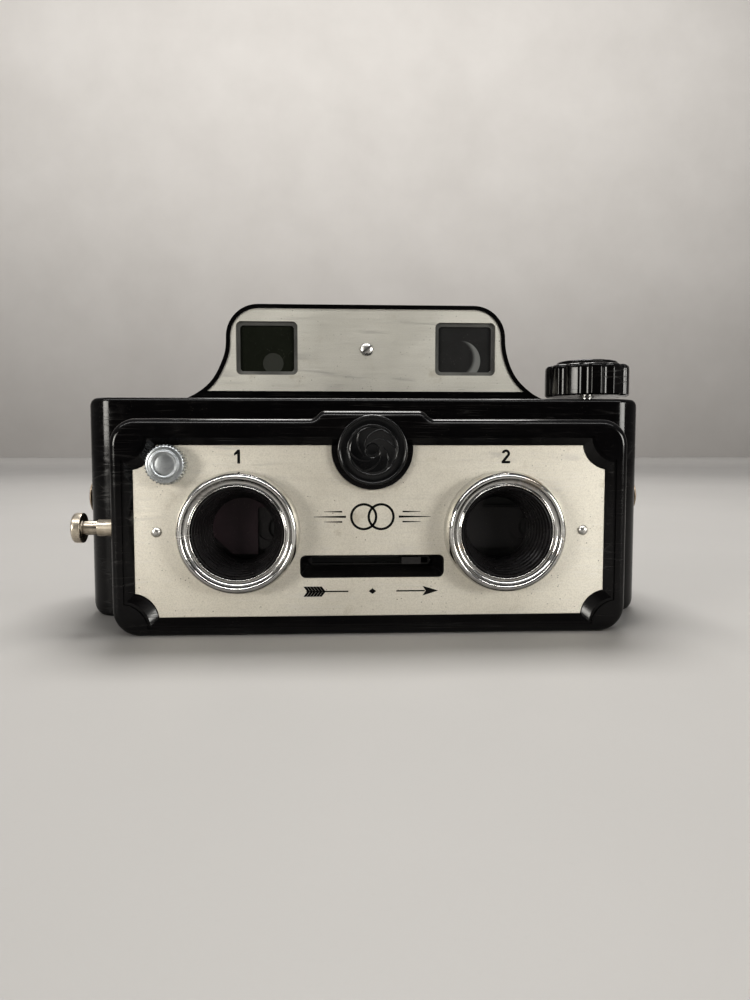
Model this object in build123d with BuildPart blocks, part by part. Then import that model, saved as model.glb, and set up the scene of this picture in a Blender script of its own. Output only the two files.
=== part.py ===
from build123d import *
import math
import os

os.makedirs("parts", exist_ok=True)

# Stereo camera for 46 mm roll film. Millimetres. +X right seen from the front,
# the lenses look along -Y, +Z up. Z = 0 is the base plane, X = 0 midway between
# the lenses, Y = 0 mid-depth.

# ---- driving dimensions ----
LENS_X = 35.0            # half of the 70 mm stereo base
LENS_Z = 27.4
BODY_W, BODY_H = 165.0, 64.0
BODY_FRONT, PARTING, REAR = -11.0, 32.0, 40.0
BODY_END_R, BODY_TOP_R, BODY_BOT_R = 9.0, 3.5, 5.5
WALL = 2.2
FLOOR_T = 2.5
INNER_FRONT = -8.5
PLINTH_W, PLINTH_TOP, PLINTH_Y = 113.0, 59.4, -13.0

SHELL_W, SHELL_H, SHELL_R = 136.2, 57.0, 7.0
SHELL_FRONT = -36.0
SHELL_WALL_BACK = -31.0
SHELL_WALL = 2.3
BUMP_BASE, BUMP_TOP, BUMP_RISE = 32.8, 24.3, 2.1

PLATE_W, PLATE_BOT, PLATE_TOP = 124.8, 4.7, 50.1
PLATE_FRONT, PLATE_BACK = -34.0, -33.1
NOTCH_W, NOTCH_H, NOTCH_R = 6.1, 6.4, 7.2
MEDAL_Z, MEDAL_R, CUTOUT_Z, CUTOUT_R = 48.8, 9.25, 49.1, 10.7
SLOT_W, SLOT_H, SLOT_Z, SLOT_R = 38.4, 6.06, 17.9, 1.5

BEZEL_FRONT = -40.0
FUNNEL_R = 11.9
FUNNEL_BACK = -25.0
HOLE_R = 12.0

SPOOL_X, SPOOL_Y = 69.2, 3.0
SPOOL_Z0, SPOOL_Z1, SPOOL_R = 3.2, 55.6, 10.3

SEL_X, SEL_Z = -53.3, 45.1
PIN_X = 56.6

VF_FRONT, VF_REAR, VF_TOP = 4.6, 37.0, 93.8
WIN_X, WIN_Z, WIN_W, WIN_H = 31.0, 80.4, 19.0, 16.4

PLUNGER_Y, PLUNGER_Z = -24.0, 27.6
STUD_Y, STUD_Z = -2.0, 34.6
HINGE_X, HINGE_Y = -82.8, 32.0


def ypl(y):
    return Plane.XZ.offset(-y)


def xpl(x):
    return Plane.YZ.offset(x)


def save(shape, label):
    shape.label = label
    export_step(shape, "parts/" + label + ".step")


# =====================================================================
# rear body: film chamber moulding
# =====================================================================
with BuildPart() as body_plan:
    with BuildSketch(Plane.XY) as bp:
        with Locations((0, (BODY_FRONT + PARTING) / 2)):
            Rectangle(BODY_W + 0.2, PARTING - BODY_FRONT)
        fillet(bp.vertices().group_by(Axis.Y)[0], BODY_END_R)
    extrude(amount=BODY_H)

with BuildPart() as main_body:
    with BuildSketch(ypl(PARTING)) as bs:
        with Locations((0, BODY_H / 2)):
            Rectangle(BODY_W, BODY_H)
        fillet(bs.vertices().group_by(Axis.Y)[-1], BODY_TOP_R)
        fillet(bs.vertices().group_by(Axis.Y)[0], BODY_BOT_R)
    extrude(amount=PARTING - BODY_FRONT)
    add(body_plan.part, mode=Mode.INTERSECT)
    front_edges = (
        main_body.edges()
        .filter_by(GeomType.LINE)
        .filter_by(Axis.X)
        .filter_by(lambda e: abs(e.center().Y - BODY_FRONT) < 0.01)
    )
    fillet(front_edges, 1.2)
    # raised plinth behind the shutter housing
    with BuildSketch(ypl(BODY_FRONT + 0.5)) as pl:
        with Locations((0, PLINTH_TOP / 2 + 1.0)):
            Rectangle(PLINTH_W, PLINTH_TOP - 2.0)
        fillet(pl.vertices(), 5.0)
    extrude(amount=BODY_FRONT + 0.5 - PLINTH_Y)
    # film chamber
    with BuildSketch(Plane.XY.offset(FLOOR_T)) as cav:
        with Locations((0, (INNER_FRONT + PARTING) / 2)):
            Rectangle(BODY_W - 2 * WALL, PARTING - INNER_FRONT)
        fillet(cav.vertices().group_by(Axis.Y)[0], BODY_END_R - WALL)
    extrude(amount=BODY_H - 2 * FLOOR_T, mode=Mode.SUBTRACT)
    # bearing bosses above the two spools
    with BuildSketch(Plane.XY.offset(BODY_H - FLOOR_T + 0.5)):
        with Locations((SPOOL_X, SPOOL_Y), (-SPOOL_X, SPOOL_Y)):
            Circle(5.0)
    extrude(amount=-5.5)
    # shaft bores
    with BuildSketch(Plane.XY.offset(BODY_H + 1)):
        with Locations((SPOOL_X, SPOOL_Y), (-SPOOL_X, SPOOL_Y)):
            Circle(2.05)
    extrude(amount=-10, mode=Mode.SUBTRACT)
    # closing disc over the supply pivot
    with BuildSketch(Plane.XY.offset(BODY_H)):
        with Locations((-SPOOL_X, SPOOL_Y)):
            Circle(3.0)
    extrude(amount=-1.6)
    # light openings through the front wall
    with BuildSketch(ypl(PLINTH_Y - 1)):
        with Locations((LENS_X, LENS_Z), (-LENS_X, LENS_Z)):
            Circle(8.0)
    extrude(amount=-8, mode=Mode.SUBTRACT)
    # screw posts for the twin light box
    with BuildSketch(ypl(28.45)):
        with Locations((0, 12.0), (0, 47.0)):
            Circle(2.6)
    extrude(amount=28.45 - INNER_FRONT + 0.5)
    with BuildSketch(ypl(28.45)):
        with Locations((0, 12.0), (0, 47.0)):
            Circle(1.25)
    extrude(amount=12, mode=Mode.SUBTRACT)
    # clearance bores for the housing screws
    with BuildSketch(ypl(PLINTH_Y - 1)):
        with Locations((38, 7), (-38, 7), (61.5, 50), (-61.5, 50)):
            Circle(1.45)
    extrude(amount=-8, mode=Mode.SUBTRACT)
    # clearance bores for the finder screws
    with BuildSketch(Plane.XY.offset(BODY_H + 1)):
        with Locations((24, 21), (-24, 21)):
            Circle(1.45)
    extrude(amount=-6, mode=Mode.SUBTRACT)
    # bores for the strap stud rivets
    with BuildSketch(xpl(-BODY_W / 2 - 1)):
        with Locations((STUD_Y + 4.5, STUD_Z)):
            Circle(1.25)
    extrude(amount=BODY_W + 2, mode=Mode.SUBTRACT)
    # spool lower pivot bores
    with BuildSketch(Plane.XY.offset(FLOOR_T)):
        with Locations((SPOOL_X, SPOOL_Y), (-SPOOL_X, SPOOL_Y)):
            Circle(1.05)
    extrude(amount=-1.5, mode=Mode.SUBTRACT)
    # relief for the cover knuckle
    with BuildSketch(Plane.XY.offset(15.0)):
        with Locations((HINGE_X, HINGE_Y)):
            Circle(1.55)
    extrude(amount=34.0, mode=Mode.SUBTRACT)
    # body knuckles
    with BuildSketch(Plane.XY.offset(6.5)):
        with Locations((HINGE_X, HINGE_Y)):
            Circle(1.4)
    extrude(amount=8.4)
    with BuildSketch(Plane.XY.offset(49.1)):
        with Locations((HINGE_X, HINGE_Y)):
            Circle(1.4)
    extrude(amount=8.4)
    with BuildSketch(Plane.XY.offset(6.0)):
        with Locations((HINGE_X, HINGE_Y)):
            Circle(0.75)
    extrude(amount=52.0, mode=Mode.SUBTRACT)
save(main_body.part, "main_body")

# ---- back cover ----
with BuildPart() as cover_plan:
    with BuildSketch(Plane.XY) as cp:
        with Locations((0, (PARTING + REAR) / 2)):
            Rectangle(BODY_W + 0.2, REAR - PARTING)
        fillet(cp.vertices().group_by(Axis.Y)[-1], 7.0)
    extrude(amount=BODY_H)

with BuildPart() as back_cover:
    with BuildSketch(ypl(REAR)) as cs:
        with Locations((0, BODY_H / 2)):
            Rectangle(BODY_W, BODY_H)
        fillet(cs.vertices().group_by(Axis.Y)[-1], BODY_TOP_R)
        fillet(cs.vertices().group_by(Axis.Y)[0], BODY_BOT_R)
    extrude(amount=REAR - PARTING - 0.05)
    add(cover_plan.part, mode=Mode.INTERSECT)
    rear_edges = (
        back_cover.edges()
        .filter_by(GeomType.LINE)
        .filter_by(Axis.X)
        .filter_by(lambda e: abs(e.center().Y - REAR) < 0.01)
    )
    fillet(rear_edges, 1.5)
    # hollow
    with BuildSketch(ypl(PARTING)) as ch:
        with Locations((0, BODY_H / 2)):
            Rectangle(BODY_W - 2 * WALL - 3.0, BODY_H - 2 * FLOOR_T - 3.0)
        fillet(ch.vertices(), 3.0)
    extrude(amount=-(REAR - PARTING - WALL), mode=Mode.SUBTRACT)
    # light-trap tongue entering the body
    with BuildSketch(ypl(PARTING + 1.0)) as tg:
        with Locations((0, BODY_H / 2)):
            Rectangle(BODY_W - 2 * WALL - 0.3, BODY_H - 2 * FLOOR_T - 0.3)
        fillet(tg.vertices(), 0.6)
        with Locations((0, BODY_H / 2)):
            Rectangle(BODY_W - 2 * WALL - 2.7, BODY_H - 2 * FLOOR_T - 2.7, mode=Mode.SUBTRACT)
    extrude(amount=3.4)
    # red-window seat
    with BuildSketch(ypl(REAR + 1)):
        with Locations((LENS_X, 29.0)):
            Circle(5.0)
    extrude(amount=2.2, mode=Mode.SUBTRACT)
    with BuildSketch(ypl(REAR + 1)):
        with Locations((LENS_X, 29.0)):
            Circle(3.6)
    extrude(amount=6, mode=Mode.SUBTRACT)
    # shallow panel line on the rear face
    with BuildSketch(ypl(REAR + 0.01)) as pn:
        with Locations((0, BODY_H / 2)):
            Rectangle(138, 52)
        fillet(pn.vertices(), 5)
        with Locations((0, BODY_H / 2)):
            RectangleRounded(136.4, 50.4, 4.2, mode=Mode.SUBTRACT)
    extrude(amount=0.41, mode=Mode.SUBTRACT)
    # latch screw bores
    with BuildSketch(xpl(BODY_W / 2 + 1)):
        with Locations((35.6, 27.6), (35.6, 39.6)):
            Circle(0.85)
    extrude(amount=-5, mode=Mode.SUBTRACT)
    # relief for the body knuckles, then the cover's own knuckle
    with BuildSketch(Plane.XY.offset(6.4)):
        with Locations((HINGE_X, HINGE_Y)):
            Circle(1.55)
    extrude(amount=8.6, mode=Mode.SUBTRACT)
    with BuildSketch(Plane.XY.offset(49.0)):
        with Locations((HINGE_X, HINGE_Y)):
            Circle(1.55)
    extrude(amount=8.6, mode=Mode.SUBTRACT)
    with BuildSketch(Plane.XY.offset(15.1)):
        with Locations((HINGE_X, HINGE_Y)):
            Circle(1.4)
    extrude(amount=33.8)
    with BuildSketch(Plane.XY.offset(6.0)):
        with Locations((HINGE_X, HINGE_Y)):
            Circle(0.78)
    extrude(amount=52.0, mode=Mode.SUBTRACT)
save(back_cover.part, "back_cover")

with BuildPart() as back_hinge_pin:
    with BuildSketch(Plane.XY.offset(6.1)):
        with Locations((HINGE_X, HINGE_Y)):
            Circle(0.72)
    extrude(amount=51.8)
save(back_hinge_pin.part, "back_hinge_pin")

with BuildPart() as ruby_window:
    with BuildSketch(ypl(REAR - 1.15)):
        with Locations((LENS_X, 29.0)):
            Circle(4.9)
    extrude(amount=-0.9)
save(ruby_window.part, "ruby_window")

with BuildPart() as back_latch:
    with BuildSketch(xpl(BODY_W / 2 + 0.1)) as bl:
        with Locations((33.6, 32.0)):
            Rectangle(9.0, 22.0)
        fillet(bl.vertices(), 1.6)
        with Locations((35.6, 26.0), (35.6, 38.0)):
            SlotOverall(5.4, 2.0, rotation=90, mode=Mode.SUBTRACT)
    extrude(amount=0.9)
    # thumb ridges
    with BuildSketch(xpl(BODY_W / 2 + 1.0)):
        with Locations((32.4, 30.4), (32.4, 32.0), (32.4, 33.6)):
            Rectangle(5.0, 0.8)
    extrude(amount=0.6)
save(back_latch.part, "back_latch")

with BuildPart() as latch_screws:
    for z in (26.0, 38.0):
        with BuildSketch(xpl(BODY_W / 2 + 1.05)):
            with Locations((35.6, z + 1.6)):
                Circle(1.5)
        extrude(amount=0.6)
        with BuildSketch(xpl(BODY_W / 2 + 1.2)):
            with Locations((35.6, z + 1.6)):
                Circle(0.8)
        extrude(amount=-4.0)
save(latch_screws.part, "latch_screws")

# ---- pressure plate and its springs ----
with BuildPart() as pressure_plate:
    with BuildSketch(ypl(31.4)) as pp:
        with Locations((0, 29.0)):
            Rectangle(122, 47)
        fillet(pp.vertices(), 2)
    extrude(amount=-0.6)
save(pressure_plate.part, "pressure_plate")

with BuildPart() as pressure_springs:
    for x in (-34.0, 8.0):
        with BuildSketch(Plane.XY.offset(20.0)):
            with BuildLine():
                l1 = Spline((x - 18, 32.45), (x - 9, 34.6), (x, 37.6), (x + 9, 34.6), (x + 18, 32.45))
                l2 = Spline((x - 18, 32.15), (x - 9, 34.3), (x, 37.3), (x + 9, 34.3), (x + 18, 32.15))
                Line(l1 @ 0, l2 @ 0)
                Line(l1 @ 1, l2 @ 1)
            make_face()
        extrude(amount=8.0)
save(pressure_springs.part, "pressure_springs")

# ---- twin light box with the film gates ----
with BuildPart() as light_box:
    with BuildSketch(ypl(31.0)) as lb:
        with Locations((0, 29.0)):
            Rectangle(124, 50)
        fillet(lb.vertices(), 1.5)
    extrude(amount=2.5)
    for sx in (-1, 1):
        with BuildSketch(ypl(-8.4)):
            with Locations((sx * LENS_X, LENS_Z)):
                Rectangle(18.4, 18.4)
        with BuildSketch(ypl(28.6)):
            with Locations((sx * LENS_X, 29.0)):
                Rectangle(50.4, 44.4)
        loft()
    for sx in (-1, 1):
        with BuildSketch(ypl(-8.45)):
            with Locations((sx * LENS_X, LENS_Z)):
                Rectangle(16.0, 16.0)
        with BuildSketch(ypl(31.05)):
            with Locations((sx * LENS_X, 29.0)):
                Rectangle(48.4, 42.4)
        loft(mode=Mode.SUBTRACT)
    with BuildSketch(ypl(32)):
        with Locations((0, 12.0), (0, 47.0)):
            Circle(1.3)
    extrude(amount=6, mode=Mode.SUBTRACT)
    with BuildSketch(ypl(31.0)):
        with Locations((0, 12.0), (0, 47.0)):
            Circle(2.5)
    extrude(amount=1.3, mode=Mode.SUBTRACT)
save(light_box.part, "light_box")

with BuildPart() as light_box_screws:
    for z in (12.0, 47.0):
        with BuildSketch(ypl(30.9)):
            with Locations((0, z)):
                Circle(2.3)
        extrude(amount=1.15)
        with BuildSketch(ypl(30.0)):
            with Locations((0, z)):
                Circle(1.2)
        extrude(amount=9.0)
        with BuildSketch(ypl(31.0)):
            with Locations((0, z)):
                Rectangle(5, 0.6)
        extrude(amount=0.6, mode=Mode.SUBTRACT)
save(light_box_screws.part, "light_box_screws")

# ---- spools ----
for name, sx in (("take_up_spool", 1), ("supply_spool", -1)):
    with BuildPart() as spool:
        with Locations((sx * SPOOL_X, SPOOL_Y, 0)):
            with Locations((0, 0, SPOOL_Z0)):
                Cylinder(SPOOL_R, 0.8, align=(Align.CENTER, Align.CENTER, Align.MIN))
            with Locations((0, 0, SPOOL_Z1 - 0.8)):
                Cylinder(SPOOL_R, 0.8, align=(Align.CENTER, Align.CENTER, Align.MIN))
            with Locations((0, 0, SPOOL_Z0)):
                Cylinder(4.2, SPOOL_Z1 - SPOOL_Z0, align=(Align.CENTER, Align.CENTER, Align.MIN))
            with Locations((0, 0, SPOOL_Z0 - 0.1)):
                Cylinder(1.4, 5, align=(Align.CENTER, Align.CENTER, Align.MIN), mode=Mode.SUBTRACT)
            with Locations((0, 0, SPOOL_Z1 - 5)):
                Cylinder(2.1, 5.1, align=(Align.CENTER, Align.CENTER, Align.MIN), mode=Mode.SUBTRACT)
            with Locations((0, 0, SPOOL_Z1 - 5)):
                Box(6.6, 1.3, 5.1, align=(Align.CENTER, Align.CENTER, Align.MIN), mode=Mode.SUBTRACT)
            # film slit
            with Locations((0, 0, 29.4)):
                Box(1.0, 20, 30, mode=Mode.SUBTRACT)
    save(spool.part, name)

with BuildPart() as spool_pivots:
    for sx in (-1, 1):
        with Locations((sx * SPOOL_X, SPOOL_Y, FLOOR_T - 1.4)):
            Cylinder(1.0, 4.6, align=(Align.CENTER, Align.CENTER, Align.MIN))
        with Locations((sx * SPOOL_X, SPOOL_Y, FLOOR_T + 0.02)):
            Cylinder(2.6, 0.4, align=(Align.CENTER, Align.CENTER, Align.MIN))
save(spool_pivots.part, "spool_pivots")

with BuildPart() as supply_pivot:
    with Locations((-SPOOL_X, SPOOL_Y, 52.0)):
        Cylinder(1.98, 10.3, align=(Align.CENTER, Align.CENTER, Align.MIN))
    fillet(supply_pivot.edges().group_by(Axis.Z)[0], 0.6)
save(supply_pivot.part, "supply_pivot")

with BuildPart() as spool_springs:
    for sx in (-1, 1):
        with BuildSketch(Plane.XY.offset(16.0)):
            with BuildLine():
                a = Spline((sx * 57.2, -8.45), (sx * 60.5, -7.9), (sx * 64.5, -7.95), (sx * 67.0, -8.45))
                b = Spline((sx * 57.6, -8.48), (sx * 60.5, -8.15), (sx * 64.5, -8.2), (sx * 66.6, -8.48))
                Line(a @ 0, b @ 0)
                Line(a @ 1, b @ 1)
            make_face()
        extrude(amount=24.0)
save(spool_springs.part, "spool_springs")

# ---- winding knob and shaft ----
with BuildPart() as winding_knob:
    with BuildSketch(Plane.XY.offset(65.5)):
        with Locations((SPOOL_X, SPOOL_Y)):
            Circle(12.85)
        with Locations((SPOOL_X, SPOOL_Y)):
            with PolarLocations(14.55, 12, start_angle=10):
                Circle(2.6, mode=Mode.SUBTRACT)
    extrude(amount=9.6)
    fillet(winding_knob.faces().sort_by(Axis.Z)[-1].edges(), 0.8)
    with Locations((SPOOL_X, SPOOL_Y, 75.0)):
        Cylinder(9.25, 1.2, align=(Align.CENTER, Align.CENTER, Align.MIN))
    # shallow dome on the centre disc
    with BuildSketch(Plane.XZ) as dm:
        with BuildLine():
            Line((0, 76.19), (9.25, 76.19))
            Spline((9.25, 76.19), (4.6, 76.8), (0, 77.0), tangents=[(-0.96, 0.17), (-1, 0)])
            Line((0, 77.0), (0, 76.19))
        make_face()
    dome_solid = revolve(axis=Axis.Z, mode=Mode.PRIVATE)
    add(dome_solid.moved(Location((SPOOL_X, SPOOL_Y, 0))))
    with Locations((SPOOL_X, SPOOL_Y, 65.4)):
        Cylinder(2.5, 4.2, align=(Align.CENTER, Align.CENTER, Align.MIN), mode=Mode.SUBTRACT)
save(winding_knob.part, "winding_knob")

with BuildPart() as winding_shaft:
    with Locations((SPOOL_X, SPOOL_Y, 52.0)):
        Cylinder(1.98, 13.4, align=(Align.CENTER, Align.CENTER, Align.MIN))
    with Locations((SPOOL_X, SPOOL_Y, 65.4)):
        Cylinder(2.45, 4.1, align=(Align.CENTER, Align.CENTER, Align.MIN))
    with Locations((SPOOL_X, SPOOL_Y, 51.4)):
        Box(6.2, 1.0, 3.8, align=(Align.CENTER, Align.CENTER, Align.MIN))
save(winding_shaft.part, "winding_shaft")

# ---- strap studs ----
for name, sx in (("strap_stud_left", -1), ("strap_stud_right", 1)):
    with BuildPart() as stud:
        with BuildSketch(xpl(sx * (BODY_W / 2 + 0.05))):
            with Locations((STUD_Y + 4.5, STUD_Z)):
                Circle(2.2)
        extrude(amount=sx * 0.7)
        with BuildSketch(xpl(sx * (BODY_W / 2 + 0.7))):
            with Locations((STUD_Y + 4.5, STUD_Z)):
                Circle(4.75)
        extrude(amount=sx * 0.9)
        fillet(stud.edges().group_by(Axis.X)[-1 if sx > 0 else 0], 0.35)
        with BuildSketch(xpl(sx * (BODY_W / 2 + 0.2))):
            with Locations((STUD_Y + 4.5, STUD_Z)):
                Circle(1.2)
        extrude(amount=-sx * 4.0)
    save(stud.part, name)

# =====================================================================
# front housing
# =====================================================================
def plate_outline(grow):
    """Closed outline of the face plate, grown outward by grow."""
    hw = PLATE_W / 2 + grow
    zb, zt = PLATE_BOT - grow, PLATE_TOP + grow
    nw, nh = NOTCH_W, NOTCH_H
    with BuildLine() as bl:
        Line((-hw + nw, zb), (hw - nw, zb))
        RadiusArc((hw - nw, zb), (hw, zb + nh), NOTCH_R)
        Line((hw, zb + nh), (hw, zt - nh))
        RadiusArc((hw, zt - nh), (hw - nw, zt), NOTCH_R)
        Line((hw - nw, zt), (-hw + nw, zt))
        RadiusArc((-hw + nw, zt), (-hw, zt - nh), NOTCH_R)
        Line((-hw, zt - nh), (-hw, zb + nh))
        RadiusArc((-hw, zb + nh), (-hw + nw, zb), NOTCH_R)
    return bl.line


s_w = (BUMP_BASE - BUMP_TOP) / 2
s_r = (s_w ** 2 + BUMP_RISE ** 2) / (4 * BUMP_RISE)
with BuildPart() as front_shell:
    with BuildSketch(ypl(BODY_FRONT + 0.0)) as fs:
        with Locations((0, SHELL_H / 2)):
            Rectangle(SHELL_W, SHELL_H)
        fillet(fs.vertices(), SHELL_R)
        with BuildLine():
            Line((-BUMP_BASE / 2, SHELL_H - 1), (-BUMP_BASE / 2, SHELL_H))
            RadiusArc((-BUMP_BASE / 2, SHELL_H), (-BUMP_BASE / 2 + s_w / 2, SHELL_H + BUMP_RISE / 2), -s_r)
            RadiusArc((-BUMP_BASE / 2 + s_w / 2, SHELL_H + BUMP_RISE / 2), (-BUMP_TOP / 2, SHELL_H + BUMP_RISE), s_r)
            Line((-BUMP_TOP / 2, SHELL_H + BUMP_RISE), (BUMP_TOP / 2, SHELL_H + BUMP_RISE))
            RadiusArc((BUMP_TOP / 2, SHELL_H + BUMP_RISE), (BUMP_TOP / 2 + s_w / 2, SHELL_H + BUMP_RISE / 2), s_r)
            RadiusArc((BUMP_TOP / 2 + s_w / 2, SHELL_H + BUMP_RISE / 2), (BUMP_BASE / 2, SHELL_H), -s_r)
            Line((BUMP_BASE / 2, SHELL_H), (BUMP_BASE / 2, SHELL_H - 1))
            Line((BUMP_BASE / 2, SHELL_H - 1), (-BUMP_BASE / 2, SHELL_H - 1))
        make_face()
    extrude(amount=BODY_FRONT - SHELL_FRONT)
    fillet(front_shell.faces().sort_by(Axis.Y)[0].edges(), 2.0)
    # hollow from behind
    with BuildSketch(ypl(BODY_FRONT + 1)) as fc:
        with Locations((0, SHELL_H / 2)):
            Rectangle(SHELL_W - 2 * SHELL_WALL, SHELL_H - 2 * SHELL_WALL)
        fillet(fc.vertices(), SHELL_R - SHELL_WALL)
    extrude(amount=BODY_FRONT + 1 - SHELL_WALL_BACK, mode=Mode.SUBTRACT)
    # room for the body plinth
    with BuildSketch(ypl(BODY_FRONT + 1)):
        with Locations((0, PLINTH_TOP / 2)):
            Rectangle(PLINTH_W + 0.1, PLINTH_TOP + 4)
    extrude(amount=BODY_FRONT + 1 - PLINTH_Y + 0.05, mode=Mode.SUBTRACT)
    # stepped recess for the face plate
    with BuildSketch(ypl(SHELL_FRONT - 0.5)):
        add(plate_outline(2.5))
        make_face()
    extrude(amount=-0.95, mode=Mode.SUBTRACT)
    with BuildSketch(ypl(SHELL_FRONT + 0.4)):
        add(plate_outline(1.9))
        make_face()
    with BuildSketch(ypl(SHELL_FRONT + 2.0)):
        add(plate_outline(0.15))
        make_face()
    loft(mode=Mode.SUBTRACT)
    with BuildSketch(ypl(SHELL_FRONT - 1)):
        add(plate_outline(0.1))
        make_face()
    extrude(amount=-(PLATE_BACK - SHELL_FRONT + 1), mode=Mode.SUBTRACT)
    # island under the badge
    with BuildSketch(ypl(PLATE_BACK + 0.4)):
        with Locations((0, CUTOUT_Z)):
            Circle(CUTOUT_R - 0.1)
        with Locations((0, 60)):
            Rectangle(40, 2 * (60 - 50.0), mode=Mode.SUBTRACT)
    extrude(amount=PLATE_BACK + 0.4 - SHELL_FRONT - 0.5)
    with BuildSketch(ypl(SHELL_FRONT - 1)):
        with Locations((0, MEDAL_Z)):
            Circle(MEDAL_R + 0.06)
    extrude(amount=-(1 + 2.0), mode=Mode.SUBTRACT)
    # thicker wall around the preset trough
    with BuildSketch(ypl(SHELL_WALL_BACK - 0.5)) as tb:
        with Locations((0, 18.2)):
            Rectangle(42.5, 9.2)
        fillet(tb.vertices(), 2)
    extrude(amount=-4.5)
    # housing screw posts
    with BuildSketch(ypl(SHELL_WALL_BACK - 0.5)):
        with Locations((38, 7), (-38, 7), (61.5, 50), (-61.5, 50)):
            Circle(2.7)
    extrude(amount=-(PLINTH_Y - 0.1 - SHELL_WALL_BACK + 0.5))
    with BuildSketch(ypl(PLINTH_Y)):
        with Locations((38, 7), (-38, 7), (61.5, 50), (-61.5, 50)):
            Circle(1.3)
    extrude(amount=9, mode=Mode.SUBTRACT)
    # shutter mounting pads
    with BuildSketch(ypl(SHELL_WALL_BACK - 0.5)):
        with Locations((18, 42), (-18, 42), (24, 8), (-24, 8)):
            Circle(2.2)
    extrude(amount=-(-23.3 - SHELL_WALL_BACK + 0.5))
    with BuildSketch(ypl(-23.3)):
        with Locations((18, 42), (-18, 42), (24, 8), (-24, 8)):
            Circle(0.95)
    extrude(amount=5, mode=Mode.SUBTRACT)
    # boat-shaped preset trough and its slit
    with BuildSketch(ypl(PLATE_BACK - 0.2)) as t1:
        with Locations((0, SLOT_Z)):
            RectangleRounded(38.0, 5.8, 1.4)
    with BuildSketch(ypl(-28.3)) as t2:
        with Locations((-0.4, 18.8)):
            RectangleRounded(33.0, 2.4, 1.15)
    loft(mode=Mode.SUBTRACT)
    with BuildSketch(ypl(-29)):
        with Locations((-0.5, 18.8)):
            Rectangle(31.6, 1.5)
    extrude(amount=-4, mode=Mode.SUBTRACT)
    # lens bores, selector bore, plate pin bores
    with BuildSketch(ypl(SHELL_FRONT)):
        with Locations((LENS_X, LENS_Z), (-LENS_X, LENS_Z)):
            Circle(HOLE_R)
        with Locations((SEL_X, SEL_Z)):
            Circle(2.05)
        with Locations((PIN_X, LENS_Z), (-PIN_X, LENS_Z)):
            Circle(0.95)
    extrude(amount=-6, mode=Mode.SUBTRACT)
    # release plunger guide bore
    with BuildSketch(xpl(-SHELL_W / 2 - 1)):
        with Locations((PLUNGER_Y, PLUNGER_Z)):
            Circle(3.05)
    extrude(amount=5, mode=Mode.SUBTRACT)
save(front_shell.part, "front_shell")

with BuildPart() as shell_screws:
    for x, z in ((38, 7), (-38, 7), (61.5, 50), (-61.5, 50)):
        with BuildSketch(ypl(INNER_FRONT + 1.3)):
            with Locations((x, z)):
                Circle(2.4)
        extrude(amount=1.25)
        with BuildSketch(ypl(INNER_FRONT + 0.3)):
            with Locations((x, z)):
                Circle(1.25)
        extrude(amount=10.5)
        with BuildSketch(ypl(INNER_FRONT + 1.4)):
            with Locations((x, z)):
                Rectangle(5.2, 0.6)
        extrude(amount=0.6, mode=Mode.SUBTRACT)
save(shell_screws.part, "shell_screws")

# ---- face plate ----
with BuildPart() as face_plate:
    with BuildSketch(ypl(PLATE_BACK)):
        add(plate_outline(0))
        make_face()
        with Locations((0, CUTOUT_Z)):
            Circle(CUTOUT_R, mode=Mode.SUBTRACT)
        with Locations((0, SLOT_Z)):
            RectangleRounded(SLOT_W, SLOT_H, SLOT_R, mode=Mode.SUBTRACT)
        with Locations((LENS_X, LENS_Z), (-LENS_X, LENS_Z)):
            Circle(HOLE_R, mode=Mode.SUBTRACT)
        with Locations((SEL_X, SEL_Z)):
            Circle(2.05, mode=Mode.SUBTRACT)
        with Locations((PIN_X, LENS_Z), (-PIN_X, LENS_Z)):
            Circle(0.95, mode=Mode.SUBTRACT)
    extrude(amount=PLATE_BACK - PLATE_FRONT)
    chamfer(face_plate.faces().sort_by(Axis.Y)[0].edges(), 0.12)
save(face_plate.part, "face_plate")

with BuildPart() as face_plate_pins:
    for sx in (-1, 1):
        with BuildSketch(Plane.XY) as ps:
            with BuildLine():
                Line((0, -34.05), (1.4, -34.05))
                Spline((1.4, -34.05), (0.8, -34.57), (0, -34.8), tangents=[(-0.5, -0.86), (-1, 0)])
                Line((0, -34.8), (0, -34.05))
            make_face()
        d = revolve(axis=Axis.Y, mode=Mode.PRIVATE)
        add(d.moved(Location((sx * PIN_X, 0, LENS_Z))))
        with BuildSketch(ypl(-34.06)):
            with Locations((sx * PIN_X, LENS_Z)):
                Circle(0.9)
        extrude(amount=-3.6)
save(face_plate_pins.part, "face_plate_pins")

# ---- badge: plain concentric rings with a six-leaf iris relief ----
with BuildPart() as medallion:
    with BuildSketch(ypl(SHELL_FRONT + 1.95)):
        with Locations((0, MEDAL_Z)):
            Circle(MEDAL_R)
    extrude(amount=1.75)
    with BuildSketch(ypl(SHELL_FRONT + 0.25)):
        with Locations((0, MEDAL_Z)):
            Circle(MEDAL_R)
            Circle(MEDAL_R - 1.0, mode=Mode.SUBTRACT)
    extrude(amount=0.65)
    fillet(medallion.edges().group_by(Axis.Y)[0], 0.3)
    with BuildSketch(ypl(SHELL_FRONT + 0.25)):
        with Locations((0, MEDAL_Z)):
            Circle(6.7)
            Circle(6.2, mode=Mode.SUBTRACT)
    extrude(amount=0.3)
    with BuildSketch(ypl(SHELL_FRONT + 0.25)):
        with Locations((0, MEDAL_Z)):
            with PolarLocations(0, 6):
                with Locations((3.9, 1.35)):
                    Rectangle(3.7, 0.34, rotation=-32)
        with Locations((0, MEDAL_Z)):
            Circle(2.1)
            Circle(1.75, mode=Mode.SUBTRACT)
    extrude(amount=0.28)
save(medallion.part, "medallion")

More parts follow.
